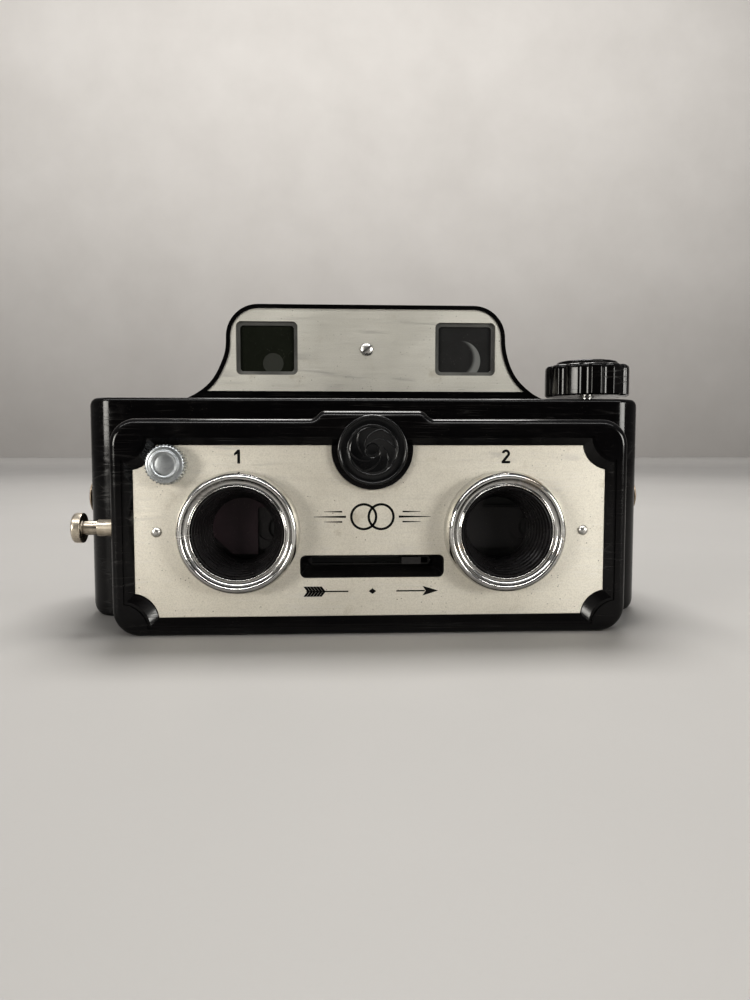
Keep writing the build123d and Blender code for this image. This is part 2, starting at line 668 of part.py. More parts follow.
# ---- lenses: bezel, hood, glass, cell ----
for i, sx in ((1, -1), (2, 1)):
    with BuildPart() as bezel:
        with BuildSketch(Plane.XY) as bz:
            with BuildLine():
                Polyline((11.96, -38.2), (11.96, -34.05), (16.0, -34.05), (16.0, -36.2))
                Spline((16.0, -36.2), (15.85, -38.4), (15.3, -39.6), (14.7, -40.0))
                Spline((14.7, -40.0), (14.1, -39.75), (13.2, -38.9), (12.5, -38.75))
                Spline((12.5, -38.75), (12.15, -38.7), (11.96, -38.2))
            make_face()
        ring = revolve(axis=Axis.Y, mode=Mode.PRIVATE)
        add(ring.moved(Location((sx * LENS_X, 0, LENS_Z))))
    save(bezel.part, "lens_bezel_%d" % i)

    with BuildPart() as funnel:
        with BuildSketch(Plane.XY) as fn:
            pts = [(11.86, -38.5), (11.45, -38.6)]
            n = 7
            y0, r0, y1, r1 = -38.3, 11.3, -25.3, 8.4
            for k in range(n):
                ya = y0 + (y1 - y0) * k / n
                yb = y0 + (y1 - y0) * (k + 1) / n
                ra = r0 + (r1 - r0) * k / n
                rb = r0 + (r1 - r0) * (k + 1) / n
                pts += [(ra, ya), (ra - 0.05, yb - 0.75), (rb - 0.0, yb - 0.45)]
            pts += [(8.4, -25.0), (13.5, -25.0), (13.5, -26.5), (13.0, -27.0), (13.0, -30.9), (11.86, -30.9)]
            with BuildLine():
                Polyline(*pts, close=True)
            make_face()
        cone = revolve(axis=Axis.Y, mode=Mode.PRIVATE)
        add(cone.moved(Location((sx * LENS_X, 0, LENS_Z))))
    save(funnel.part, "lens_hood_%d" % i)

    with BuildPart() as cell:
        with BuildSketch(Plane.XY):
            with BuildLine():
                Polyline((4.2, -22.25), (9.0, -22.25), (9.0, -16.4), (6.6, -16.4), (6.6, -20.9), (4.2, -20.9), close=True)
            make_face()
        c = revolve(axis=Axis.Y, mode=Mode.PRIVATE)
        add(c.moved(Location((sx * LENS_X, 0, LENS_Z))))
    save(cell.part, "lens_cell_%d" % i)

    with BuildPart() as glass:
        with BuildSketch(Plane.XY):
            with BuildLine():
                Line((0, -20.5), (0, -18.0))
                Spline((0, -18.0), (3.2, -18.25), (6.4, -19.0), tangents=[(1, 0), (0.95, -0.31)])
                Line((6.4, -19.0), (6.4, -20.8))
                Spline((6.4, -20.8), (3.2, -20.58), (0, -20.5), tangents=[(-1, 0.09), (-1, 0)])
            make_face()
        g = revolve(axis=Axis.Y, mode=Mode.PRIVATE)
        add(g.moved(Location((sx * LENS_X, 0, LENS_Z))))
    save(glass.part, "lens_glass_%d" % i)

with BuildPart() as lens_retainers:
    for sx in (-1, 1):
        with BuildSketch(ypl(-16.5)):
            with Locations((sx * LENS_X, LENS_Z)):
                Circle(6.5)
                Circle(5.5, mode=Mode.SUBTRACT)
        extrude(amount=1.1)
save(lens_retainers.part, "lens_retainers")

# ---- shutter ----
with BuildPart() as shutter_base_plate:
    with BuildSketch(ypl(-22.3)) as sb:
        with Locations((0, 28.25)):
            Rectangle(127.0, 47.5)
        fillet(sb.vertices(), 3)
        with Locations((LENS_X, LENS_Z), (-LENS_X, LENS_Z)):
            Circle(3.3, mode=Mode.SUBTRACT)
        with Locations((38, 7), (-38, 7), (61.5, 50), (-61.5, 50)):
            Circle(3.2, mode=Mode.SUBTRACT)
        with Locations((18, 42), (-18, 42), (24, 8), (-24, 8)):
            Circle(0.95, mode=Mode.SUBTRACT)
        with Locations((-63, PLUNGER_Z)):
            Rectangle(8, 6.4, mode=Mode.SUBTRACT)
        with Locations((-61.8, 20.0)):
            Circle(0.6, mode=Mode.SUBTRACT)
        with Locations((SEL_X, SEL_Z)):
            Circle(1.05, mode=Mode.SUBTRACT)
        with Locations((-18, 34.2), (30, 34.2), (-18, 20.6), (52, 20.6)):
            Circle(0.5, mode=Mode.SUBTRACT)
    extrude(amount=0.95)
save(shutter_base_plate.part, "shutter_base_plate")

with BuildPart() as shutter_base_screws:
    for x, z in ((18, 42), (-18, 42), (24, 8), (-24, 8)):
        with BuildSketch(ypl(-21.4)):
            with Locations((x, z)):
                Circle(1.9)
        extrude(amount=0.85)
        with BuildSketch(ypl(-22.0)):
            with Locations((x, z)):
                Circle(0.9)
        extrude(amount=5.0)
        with BuildSketch(ypl(-21.3)):
            with Locations((x, z)):
                Rectangle(4.2, 0.5)
        extrude(amount=0.45, mode=Mode.SUBTRACT)
save(shutter_base_screws.part, "shutter_base_screws")

with BuildPart() as shutter_guides:
    for x, z in ((-18, 34.2), (30, 34.2), (-18, 20.6), (52, 20.6)):
        with BuildSketch(ypl(-22.3)):
            with Locations((x, z)):
                Circle(0.45)
        extrude(amount=1.1)
        with BuildSketch(ypl(-23.28)):
            with Locations((x, z)):
                Circle(0.7)
        extrude(amount=1.25)
        with BuildSketch(ypl(-24.5)):
            with Locations((x, z)):
                Circle(1.5)
        extrude(amount=0.35)
save(shutter_guides.part, "shutter_guides")

with BuildPart() as shutter_slide:
    with BuildSketch(ypl(-23.55)) as ss:
        with Locations((9.6, 27.4)):
            Rectangle(98.8, 12.0)
        with Locations((-25, LENS_Z), (45, LENS_Z)):
            Circle(3.3, mode=Mode.SUBTRACT)
        with Locations((10.5, 20.2)):
            Rectangle(5.4, 3.8)
        with Locations((57.5, 38.8)):
            Rectangle(3.0, 13.0)
    extrude(amount=0.35)
save(shutter_slide.part, "shutter_slide")

with BuildPart() as preset_tab:
    with Locations((10.5, -28.2, 18.8)):
        Box(5.2, 8.5, 1.0)
    with Locations((10.5, -32.05, 19.2)):
        Box(5.2, 0.8, 1.9)
save(preset_tab.part, "preset_tab")

with BuildPart() as capping_blade:
    with BuildSketch(ypl(-24.1)) as cb:
        with Locations((2.5, 27.4)):
            Rectangle(91.0, 11.0)
        with Locations((-28.0, LENS_Z), (42.0, LENS_Z)):
            Circle(3.5, mode=Mode.SUBTRACT)
        with Locations((-47.9, 23.2)):
            Rectangle(10.2, 2.6)
        with Locations((-51.0, 13.7)):
            Rectangle(4.0, 21.6)
        with Locations((-51.0, 7.0)):
            SlotOverall(6.6, 2.4, rotation=90, mode=Mode.SUBTRACT)
    extrude(amount=0.3)
save(capping_blade.part, "capping_blade")

with BuildPart() as shutter_spring:
    with BuildLine(Plane.XY) as hl:
        Helix(pitch=2.1, height=34.6, radius=1.25, center=(20.9, -24.95, 43.2), direction=(1, 0, 0))
    with BuildSketch(Plane(origin=hl.line @ 0, z_dir=hl.line % 0)):
        Circle(0.22)
    sweep(is_frenet=True)
save(shutter_spring.part, "shutter_spring")

with BuildPart() as release_lever:
    with BuildSketch(ypl(-25.1)) as rl:
        with BuildLine():
            Polyline((-63.3, 20.4), (-64.0, 26.6), (-62.4, 26.6), (-60.4, 20.6), (-50.2, 9.6), (-51.9, 8.4), (-62.4, 18.4), close=True)
        make_face()
        with Locations((-61.8, 20.0)):
            Circle(2.0)
        with Locations((-63.1, 26.6)):
            Circle(0.95)
        with Locations((-51.0, 9.0)):
            Circle(1.3)
        with Locations((-61.8, 20.0)):
            Circle(0.95, mode=Mode.SUBTRACT)
    extrude(amount=0.8)
    with BuildSketch(ypl(-24.05)):
        with Locations((-51.0, 9.0)):
            Circle(0.7)
    extrude(amount=1.2)
save(release_lever.part, "release_lever")

with BuildPart() as lever_pivot:
    with BuildSketch(ypl(-22.3)):
        with Locations((-61.8, 20.0)):
            Circle(0.58)
    extrude(amount=1.0)
    with BuildSketch(ypl(-23.3)):
        with Locations((-61.8, 20.0)):
            Circle(0.9)
    extrude(amount=2.8)
    with BuildSketch(ypl(-25.95)):
        with Locations((-61.8, 20.0)):
            Circle(1.5)
    extrude(amount=0.4)
save(lever_pivot.part, "lever_pivot")

# ---- release plunger ----
with BuildPart() as release_plunger:
    with BuildSketch(xpl(-80.9)):
        with Locations((PLUNGER_Y, PLUNGER_Z)):
            Circle(4.1)
    extrude(amount=2.55)
    fillet(release_plunger.edges().group_by(Axis.X)[0], 0.5)
    with BuildSketch(xpl(-78.35)):
        with Locations((PLUNGER_Y, PLUNGER_Z)):
            Circle(3.5)
    extrude(amount=-0.5, mode=Mode.SUBTRACT)
    with BuildSketch(xpl(-79.5)):
        with Locations((PLUNGER_Y, PLUNGER_Z)):
            Circle(1.95)
    extrude(amount=79.5 - 74.0)
    with BuildSketch(xpl(-79.5)):
        with Locations((PLUNGER_Y, PLUNGER_Z)):
            Circle(1.6)
    extrude(amount=79.5 - 64.2)
    fillet(release_plunger.edges().group_by(Axis.X)[-1], 0.3)
save(release_plunger.part, "release_plunger")

with BuildPart() as plunger_bush:
    with BuildSketch(xpl(-74.5)):
        with Locations((PLUNGER_Y, PLUNGER_Z)):
            Circle(2.3)
    extrude(amount=74.5 - 68.1 + 0.05)
    with BuildSketch(xpl(-69.3)):
        with Locations((PLUNGER_Y, PLUNGER_Z)):
            Circle(3.6)
    extrude(amount=1.15)
    with BuildSketch(xpl(-68.4)):
        with Locations((PLUNGER_Y, PLUNGER_Z)):
            Circle(3.0)
    extrude(amount=2.9)
    with BuildSketch(xpl(-77)):
        with Locations((PLUNGER_Y, PLUNGER_Z)):
            Circle(1.65)
    extrude(amount=13, mode=Mode.SUBTRACT)
    # counterbore for the return spring
    with BuildSketch(xpl(-77)):
        with Locations((PLUNGER_Y, PLUNGER_Z)):
            Circle(2.02)
    extrude(amount=77 - 67.6, mode=Mode.SUBTRACT)
save(plunger_bush.part, "plunger_bush")

with BuildPart() as plunger_spring:
    with BuildLine(Plane.XY) as ph:
        Helix(pitch=1.45, height=5.9, radius=1.82, center=(-73.8, PLUNGER_Y, PLUNGER_Z), direction=(1, 0, 0))
    with BuildSketch(Plane(origin=ph.line @ 0, z_dir=ph.line % 0)):
        Circle(0.13)
    sweep(is_frenet=True)
save(plunger_spring.part, "plunger_spring")

# ---- one-lens / two-lens selector ----
with BuildPart() as selector_knob:
    with BuildSketch(ypl(-34.3)):
        with Locations((SEL_X, SEL_Z)):
            Circle(5.25)
            with PolarLocations(5.45, 33):
                Circle(0.42, mode=Mode.SUBTRACT)
    extrude(amount=3.5)
    with BuildSketch(ypl(-37.7)):
        with Locations((SEL_X, SEL_Z)):
            Circle(4.7)
    extrude(amount=0.55)
    chamfer(selector_knob.edges().group_by(Axis.Y)[0], 0.2)
    with BuildSketch(ypl(-38.1)):
        with Locations((SEL_X, SEL_Z)):
            Circle(3.5)
            Circle(2.9, mode=Mode.SUBTRACT)
    extrude(amount=0.45)
    with BuildSketch(ypl(-34.2)):
        with Locations((SEL_X, SEL_Z)):
            Circle(1.25)
    extrude(amount=3.2, mode=Mode.SUBTRACT)
save(selector_knob.part, "selector_knob")

with BuildPart() as selector_shaft:
    with BuildSketch(ypl(-24.95)):
        with Locations((SEL_X, SEL_Z)):
            Circle(1.95)
    extrude(amount=9.1)
    with BuildSketch(ypl(-34.0)):
        with Locations((SEL_X, SEL_Z)):
            Circle(1.2)
    extrude(amount=3.3)
    with BuildSketch(ypl(-22.5)):
        with Locations((SEL_X, SEL_Z)):
            Circle(0.98)
    extrude(amount=2.5)
save(selector_shaft.part, "selector_shaft")

with BuildPart() as blanking_blade:
    with BuildSketch(ypl(-24.6)) as bb:
        with BuildLine():
            Polyline(
                (-44.0, 26.0), (-38.0, 20.2), (-31.1, 20.2), (-31.1, 33.1), (-27.4, 33.1),
                (-27.4, 36.6), (-44.0, 36.6), (-50.6, 46.4), (-55.6, 42.9), (-46.5, 33.0), close=True)
        make_face()
        with Locations((SEL_X, SEL_Z)):
            Circle(3.2)
        with Locations((SEL_X, SEL_Z)):
            Circle(1.02, mode=Mode.SUBTRACT)
    extrude(amount=0.3)
save(blanking_blade.part, "blanking_blade")

# =====================================================================
# viewfinder
# =====================================================================
def finder_outline(g):
    """Closed front outline of the finder casing, drawn in by g."""
    pts = [
        (43.5 - g, 83.8),
        (44.7 - 0.952 * g, 76.6 - 0.305 * g),
        (47.6 - 0.805 * g, 71.0 - 0.593 * g),
        (51.7 - 0.556 * g, 67.1 - 0.831 * g),
        (58.0 - 0.313 * g, 64.05 - 0.95 * g),
    ]
    back = [(-x, z) for x, z in reversed(pts)]
    with BuildLine() as fl:
        Line((-33.5, VF_TOP - g), (33.5, VF_TOP - g))
        RadiusArc((33.5, VF_TOP - g), pts[0], 10.0 - g)
        Spline(*pts, tangents=[(0, -1), (1.0, -0.33)])
        Line(pts[-1], back[0])
        Spline(*back, tangents=[(1.0, 0.33), (0, 1)])
        RadiusArc(back[-1], (-33.5, VF_TOP - g), 10.0 - g)
    return fl.line


with BuildPart() as casing_solid:
    with BuildSketch(ypl(VF_REAR)):
        add(finder_outline(0))
        make_face()
    extrude(amount=VF_REAR - VF_FRONT)
with BuildPart() as rebate_solid:
    with BuildSketch(ypl(6.0)):
        add(finder_outline(1.2))
        make_face()
        with Locations((0, 60.0)):
            Rectangle(140, 14.2, mode=Mode.SUBTRACT)
    extrude(amount=2.0)
with BuildPart() as cavity_solid:
    with BuildSketch(ypl(35.0)):
        add(finder_outline(1.9))
        make_face()
        with Locations((0, 60.0)):
            Rectangle(140, 13.2, mode=Mode.SUBTRACT)
    extrude(amount=29.05)

with BuildPart() as viewfinder_casing:
    add(casing_solid.part)
    add(rebate_solid.part, mode=Mode.SUBTRACT)
    add(cavity_solid.part, mode=Mode.SUBTRACT)
    # column for the plate screw, bosses for the base screws
    with BuildSketch(ypl(35.5)):
        with Locations((0, 80.2)):
            Circle(3.4)
    extrude(amount=29.4)
    with BuildSketch(ypl(6.0)):
        with Locations((0, 80.2)):
            Circle(1.05)
    extrude(amount=-10, mode=Mode.SUBTRACT)
    with BuildSketch(Plane.XY.offset(66.0)):
        with Locations((24, 21), (-24, 21)):
            Circle(3.0)
    extrude(amount=5.0)
    with BuildSketch(Plane.XY.offset(64.0)):
        with Locations((24, 21), (-24, 21)):
            Circle(1.3)
    extrude(amount=6.0, mode=Mode.SUBTRACT)
    # eyepiece bores
    with BuildSketch(ypl(VF_REAR + 1)):
        with Locations((WIN_X, WIN_Z), (-WIN_X, WIN_Z)):
            Circle(5.5)
    extrude(amount=4, mode=Mode.SUBTRACT)
save(viewfinder_casing.part, "viewfinder_casing")

with BuildPart() as viewfinder_plate:
    with BuildSketch(ypl(5.9)):
        add(finder_outline(1.25))
        make_face()
        with Locations((0, 60.0)):
            Rectangle(140, 14.3, mode=Mode.SUBTRACT)
    extrude(amount=0.9)
    with BuildSketch(ypl(7)):
        with Locations((WIN_X, WIN_Z), (-WIN_X, WIN_Z)):
            RectangleRounded(WIN_W, WIN_H, 1.6)
        with Locations((0, 80.2)):
            Circle(1.1)
    extrude(amount=4, mode=Mode.SUBTRACT)
save(viewfinder_plate.part, "viewfinder_plate")

with BuildPart() as finder_screw:
    with BuildSketch(Plane.XY):
        with BuildLine():
            Line((0, 4.95), (2.05, 4.95))
            Spline((2.05, 4.95), (1.2, 4.4), (0, 4.2), tangents=[(-0.5, -0.7), (-1, 0)])
            Line((0, 4.2), (0, 4.95))
        make_face()
    h = revolve(axis=Axis.Y, mode=Mode.PRIVATE)
    add(h.moved(Location((0, 0, 80.2))))
    with BuildSketch(ypl(4.9)):
        with Locations((0, 80.2)):
            Circle(1.0)
    extrude(amount=-7)
    with BuildSketch(ypl(4.0)):
        with Locations((0, 80.2)):
            Rectangle(5, 0.6, rotation=38)
    extrude(amount=-0.65, mode=Mode.SUBTRACT)
save(finder_screw.part, "finder_screw")

with BuildPart() as finder_base_screws:
    for sx in (-1, 1):
        with Locations((sx * 24, 21, 60.2)):
            Cylinder(2.4, 1.25, align=(Align.CENTER, Align.CENTER, Align.MIN))
        with Locations((sx * 24, 21, 61.0)):
            Cylinder(1.25, 7.5, align=(Align.CENTER, Align.CENTER, Align.MIN))
        with Locations((sx * 24, 21, 60.2)):
            Box(5.2, 0.6, 0.6, align=(Align.CENTER, Align.CENTER, Align.MIN), mode=Mode.SUBTRACT)
save(finder_base_screws.part, "finder_base_screws")

for i, sx in ((1, -1), (2, 1)):
    with BuildPart() as frame:
        with BuildSketch(ypl(8.6)):
            with Locations((sx * WIN_X, WIN_Z)):
                RectangleRounded(19.8, 17.4, 1.6)
                RectangleRounded(16.7, 14.1, 1.0, mode=Mode.SUBTRACT)
        extrude(amount=2.55)
        add(cavity_solid.part, mode=Mode.INTERSECT)
    save(frame.part, "finder_window_frame_%d" % i)

    with BuildPart() as lens:
        with BuildSketch(ypl(8.4)):
            with Locations((sx * WIN_X, WIN_Z)):
                RectangleRounded(16.6, 14.0, 0.95)
        extrude(amount=1.6)
    save(lens.part, "finder_front_lens_%d" % i)

    with BuildPart() as eyepiece:
        with BuildSketch(ypl(38.6)):
            with Locations((sx * WIN_X, WIN_Z)):
                Circle(7.0)
                Circle(4.4, mode=Mode.SUBTRACT)
        extrude(amount=1.55)
        fillet(eyepiece.edges().group_by(Axis.Y)[-1], 0.5)
        with BuildSketch(ypl(37.2)):
            with Locations((sx * WIN_X, WIN_Z)):
                Circle(5.45)
                Circle(4.75, mode=Mode.SUBTRACT)
        extrude(amount=4.0)
    save(eyepiece.part, "finder_eyepiece_%d" % i)

    with BuildPart() as rear_lens:
        with BuildSketch(ypl(36.9)):
            with Locations((sx * WIN_X, WIN_Z)):
                Circle(4.7)
        extrude(amount=2.0)
    save(rear_lens.part, "finder_rear_lens_%d" % i)
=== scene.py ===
import bpy
import bmesh
import math
import random
from mathutils import Vector, Matrix


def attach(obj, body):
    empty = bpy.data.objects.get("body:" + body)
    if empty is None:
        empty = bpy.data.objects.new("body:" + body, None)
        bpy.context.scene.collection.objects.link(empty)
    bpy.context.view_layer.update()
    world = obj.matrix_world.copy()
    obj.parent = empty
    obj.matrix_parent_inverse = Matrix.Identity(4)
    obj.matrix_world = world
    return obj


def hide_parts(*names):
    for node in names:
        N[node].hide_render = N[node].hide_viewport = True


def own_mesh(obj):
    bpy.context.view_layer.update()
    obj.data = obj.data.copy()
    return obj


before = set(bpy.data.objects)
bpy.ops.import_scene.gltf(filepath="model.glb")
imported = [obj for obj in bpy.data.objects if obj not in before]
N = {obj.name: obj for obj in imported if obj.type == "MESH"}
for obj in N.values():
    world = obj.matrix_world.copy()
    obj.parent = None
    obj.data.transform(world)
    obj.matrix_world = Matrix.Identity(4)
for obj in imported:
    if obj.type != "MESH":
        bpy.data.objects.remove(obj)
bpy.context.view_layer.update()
MM = 0.001
random.seed(7)
scene = bpy.context.scene

# ------------------------------------------------------------------ materials


class Mat:
    """Small helper that wires a procedural node material."""

    def __init__(self, name):
        self.m = bpy.data.materials.new(name)
        self.m.use_nodes = True
        self.nt = self.m.node_tree
        self.nt.nodes.clear()
        self.out = self.nt.nodes.new("ShaderNodeOutputMaterial")
        self.b = self.nt.nodes.new("ShaderNodeBsdfPrincipled")
        self.nt.links.new(self.b.outputs[0], self.out.inputs[0])
        self.tc = self.nt.nodes.new("ShaderNodeTexCoord")
        self.geo = self.nt.nodes.new("ShaderNodeNewGeometry")

    def put(self, sock, val):
        if hasattr(val, "is_output") or isinstance(val, bpy.types.NodeSocket):
            self.nt.links.new(val, sock)
        else:
            sock.default_value = val

    def set(self, **kw):
        for k, v in kw.items():
            self.put(self.b.inputs[k.replace("_", " ")], v)

    def noise(self, scale, detail=4, rough=0.55, dist=0.0, vec=None, out=0):
        n = self.nt.nodes.new("ShaderNodeTexNoise")
        self.put(n.inputs["Vector"], vec if vec is not None else self.tc.outputs["Object"])
        n.inputs["Scale"].default_value = scale
        n.inputs["Detail"].default_value = detail
        n.inputs["Roughness"].default_value = rough
        n.inputs["Distortion"].default_value = dist
        return n.outputs[out]

    def voro(self, scale, feature="F1", vec=None, rnd=1.0):
        n = self.nt.nodes.new("ShaderNodeTexVoronoi")
        n.feature = feature
        self.put(n.inputs["Vector"], vec if vec is not None else self.tc.outputs["Object"])
        n.inputs["Scale"].default_value = scale
        n.inputs["Randomness"].default_value = rnd
        return n.outputs["Distance"]

    def map(self, scale=(1, 1, 1), rot=(0, 0, 0), loc=(0, 0, 0), vec=None):
        n = self.nt.nodes.new("ShaderNodeMapping")
        self.put(n.inputs["Vector"], vec if vec is not None else self.tc.outputs["Object"])
        n.inputs["Scale"].default_value = scale
        n.inputs["Rotation"].default_value = rot
        n.inputs["Location"].default_value = loc
        return n.outputs[0]

    def ramp(self, fac, a, b, ca=0.0, cb=1.0, smooth=False):
        n = self.nt.nodes.new("ShaderNodeMapRange")
        n.interpolation_type = "SMOOTHSTEP" if smooth else "LINEAR"
        n.clamp = True
        self.put(n.inputs["Value"], fac)
        n.inputs["From Min"].default_value = a
        n.inputs["From Max"].default_value = b
        n.inputs["To Min"].default_value = ca
        n.inputs["To Max"].default_value = cb
        return n.outputs["Result"]

    def math(self, op, a, b=0.0, c=0.0, clamp=False):
        n = self.nt.nodes.new("ShaderNodeMath")
        n.operation = op
        n.use_clamp = clamp
        self.put(n.inputs[0], a)
        self.put(n.inputs[1], b)
        self.put(n.inputs[2], c)
        return n.outputs[0]

    def mix(self, fac, a, b):
        n = self.nt.nodes.new("ShaderNodeMix")
        n.data_type = "RGBA"
        self.put(n.inputs["Factor"], fac)
        self.put(n.inputs["A"] if False else n.inputs[6], a if not isinstance(a, tuple) else (*a, 1.0) if len(a) == 3 else a)
        self.put(n.inputs[7], b if not isinstance(b, tuple) else (*b, 1.0) if len(b) == 3 else b)
        return n.outputs[2]

    def bump(self, height, strength=0.2, dist=0.0001, normal=None):
        n = self.nt.nodes.new("ShaderNodeBump")
        n.inputs["Strength"].default_value = strength
        n.inputs["Distance"].default_value = dist
        self.put(n.inputs["Height"], height)
        if normal is not None:
            self.put(n.inputs["Normal"], normal)
        return n.outputs[0]

    def sep(self, vec):
        n = self.nt.nodes.new("ShaderNodeSeparateXYZ")
        self.put(n.inputs[0], vec)
        return n.outputs

    def scratches(self, density=1.0, thin=0.05):
        """Long thin lines in several directions, 0..1."""
        total = None
        for k, (rz, ry, sc) in enumerate(((0.4, 0.5, 1.0), (1.3, 1.9, 1.4), (2.4, 2.9, 0.8), (0.9, 4.0, 1.7))):
            v = self.map(scale=(9 * sc, 60 * sc, 330 * sc), rot=(0.2 * k, ry, rz), loc=(k * 3.1, k * 1.7, 0))
            d = self.voro(1.0, "DISTANCE_TO_EDGE", v)
            line = self.ramp(d, 0.0, thin, 1.0, 0.0)
            keep = self.ramp(self.noise(70 + 13 * k, 2, vec=self.map(loc=(k * 5.0, 0, 0))), 0.55 - 0.05 * density, 0.68, 0.0, 1.0)
            line = self.math("MULTIPLY", line, keep)
            total = line if total is None else self.math("MAXIMUM", total, line)
        return total

    def up(self):
        return self.ramp(self.sep(self.geo.outputs["Normal"])[2], 0.55, 0.98)


def bakelite(name, rough=0.085, dusty=1.0, groove=False):
    k = Mat(name)
    broad = k.noise(38, 5, 0.6)
    fine = k.noise(900, 3, 0.6)
    haze = k.ramp(k.noise(95, 6, 0.7, 0.4), 0.42, 0.72)
    scr = k.scratches(1.0, 0.045)
    dust = k.math("MULTIPLY", k.ramp(k.voro(1500), 0.16, 0.05), k.ramp(k.noise(140, 3), 0.5, 0.66))
    lint = k.math("MULTIPLY", k.ramp(k.noise(2600, 2), 0.66, 0.74), k.up())
    dirt = k.math("MULTIPLY", k.math("MAXIMUM", dust, lint), 0.22 * dusty)
    film = k.math("MULTIPLY", k.math("MULTIPLY", k.up(), k.ramp(broad, 0.35, 0.7)), 0.03 * dusty)
    base = k.mix(k.ramp(broad, 0.3, 0.7), (0.0026, 0.0024, 0.0028), (0.0045, 0.0040, 0.0042))
    base = k.mix(film, base, (0.22, 0.205, 0.19))
    base = k.mix(k.math("MULTIPLY", scr, 0.05), base, (0.16, 0.15, 0.14))
    base = k.mix(dirt, base, (0.30, 0.27, 0.24))
    r = k.math("ADD", rough, k.math("MULTIPLY", haze, 0.13))
    r = k.math("ADD", r, k.math("MULTIPLY", scr, 0.22))
    r = k.math("ADD", r, k.math("MULTIPLY", k.up(), 0.05), clamp=True)
    spec = 0.24
    if groove:
        low = k.math("MULTIPLY", k.ramp(k.sep(k.geo.outputs["Normal"])[2], 0.2, 0.5), k.ramp(k.sep(k.tc.outputs["Object"])[2], 0.0175, 0.0165))
        r = k.math("ADD", r, k.math("MULTIPLY", low, 0.6), clamp=True)
        spec = k.math("SUBTRACT", 0.24, k.math("MULTIPLY", low, 0.22))
    k.set(Base_Color=base, Roughness=r, IOR=1.5, Specular_IOR_Level=spec)
    n = k.bump(broad, 0.10, 0.0002)
    n = k.bump(fine, 0.06, 0.00002, n)
    n = k.bump(scr, 0.25, 0.00001, n)
    k.set(Normal=n)
    return k.m


def sheet(name, col_a, col_b, rough=0.40, warm_stain=(0.30, 0.24, 0.15), brushed=True, scratch=0.4, grain=0.25, painted_centre_brightness=1.0):
    """Satin rolled aluminium with fine speckle, stains and hairlines. A painted_centre_brightness below 1 adds painted
    shade, darkening the plate towards its vertical centre line.
    """
    k = Mat(name)
    cloud = k.noise(26, 6, 0.62, 0.3)
    speck = k.noise(3600, 2, 0.6)
    pits = k.math("MULTIPLY", k.ramp(k.voro(820), 0.17, 0.06), k.ramp(k.noise(230, 3), 0.47, 0.62))
    hair = k.noise(1.0, 4, 0.7, 0.0, k.map(scale=(60, 900, 5200)))
    scr = k.scratches(1.3, 0.03)
    edge = k.geo.outputs["Pointiness"]
    base = k.mix(k.ramp(cloud, 0.3, 0.72), col_a, col_b)
    base = k.mix(k.math("MULTIPLY", k.ramp(speck, 0.42, 0.62), grain), base, tuple(c * 0.72 for c in col_a))
    base = k.mix(k.math("MULTIPLY", k.ramp(k.noise(120, 5, 0.7), 0.60, 0.76), 0.35), base, warm_stain)
    base = k.mix(k.math("MULTIPLY", pits, 0.75), base, (0.035, 0.030, 0.025))
    base = k.mix(k.math("MULTIPLY", scr, scratch), base, (0.82, 0.80, 0.76))
    # painted shade: darkens the base towards x = 0, fading out by |x| = 60 mm, to stand in for how the light falls
    # across the plate
    if painted_centre_brightness < 1.0:
        side = k.math("ABSOLUTE", k.sep(k.tc.outputs["Object"])[0])
        painted_centre_shade = k.ramp(side, 0.004, 0.060, 1.0 - painted_centre_brightness, 0.0, True)
        base = k.mix(painted_centre_shade, base, (0.10, 0.088, 0.068))
    r = k.math("ADD", rough, k.math("MULTIPLY", k.ramp(cloud, 0.3, 0.7), 0.10))
    r = k.math("ADD", r, k.math("MULTIPLY", k.ramp(hair, 0.3, 0.7), 0.08))
    r = k.math("SUBTRACT", r, k.math("MULTIPLY", scr, 0.15), clamp=True)
    k.set(Base_Color=base, Metallic=0.62, Roughness=r)
    n = k.bump(hair, 0.10 if brushed else 0.03, 0.00002)
    n = k.bump(speck, 0.22, 0.00001, n)
    n = k.bump(pits, 0.35, 0.00004, n)
    n = k.bump(scr, 0.25, 0.00001, n)
    k.set(Normal=n)
    return k.m


def plated(name, col, rough, stain=(0.10, 0.07, 0.04), wear=(0.35, 0.27, 0.17), stained=0.35, worn=0.0, spots=0.6):
    """Plated turned metal with tarnish, spots and optional wear."""
    k = Mat(name)
    cloud = k.noise(170, 6, 0.65, 0.5)
    spot = k.math("MULTIPLY", k.ramp(k.voro(1150), 0.20, 0.06), k.ramp(k.noise(300, 3), 0.5, 0.64))
    scr = k.scratches(0.8, 0.03)
    base = k.mix(k.ramp(k.noise(420, 4), 0.3, 0.7), tuple(c * 0.93 for c in col), col)
    base = k.mix(k.math("MULTIPLY", k.ramp(cloud, 0.52, 0.72), stained), base, stain)
    if worn:
        base = k.mix(k.math("MULTIPLY", k.ramp(k.noise(90, 5, 0.7), 0.56, 0.60), worn), base, wear)
    base = k.mix(k.math("MULTIPLY", spot, spots), base, (0.03, 0.025, 0.02))
    r = k.math("ADD", rough, k.math("MULTIPLY", k.ramp(cloud, 0.4, 0.75), 0.22))
    r = k.math("ADD", r, k.math("MULTIPLY", scr, 0.15), clamp=True)
    k.set(Base_Color=base, Metallic=1.0, Roughness=r)
    n = k.bump(k.noise(900, 3), 0.05, 0.00002)
    n = k.bump(spot, 0.3, 0.00003, n)
    k.set(Normal=n)
    return k.m


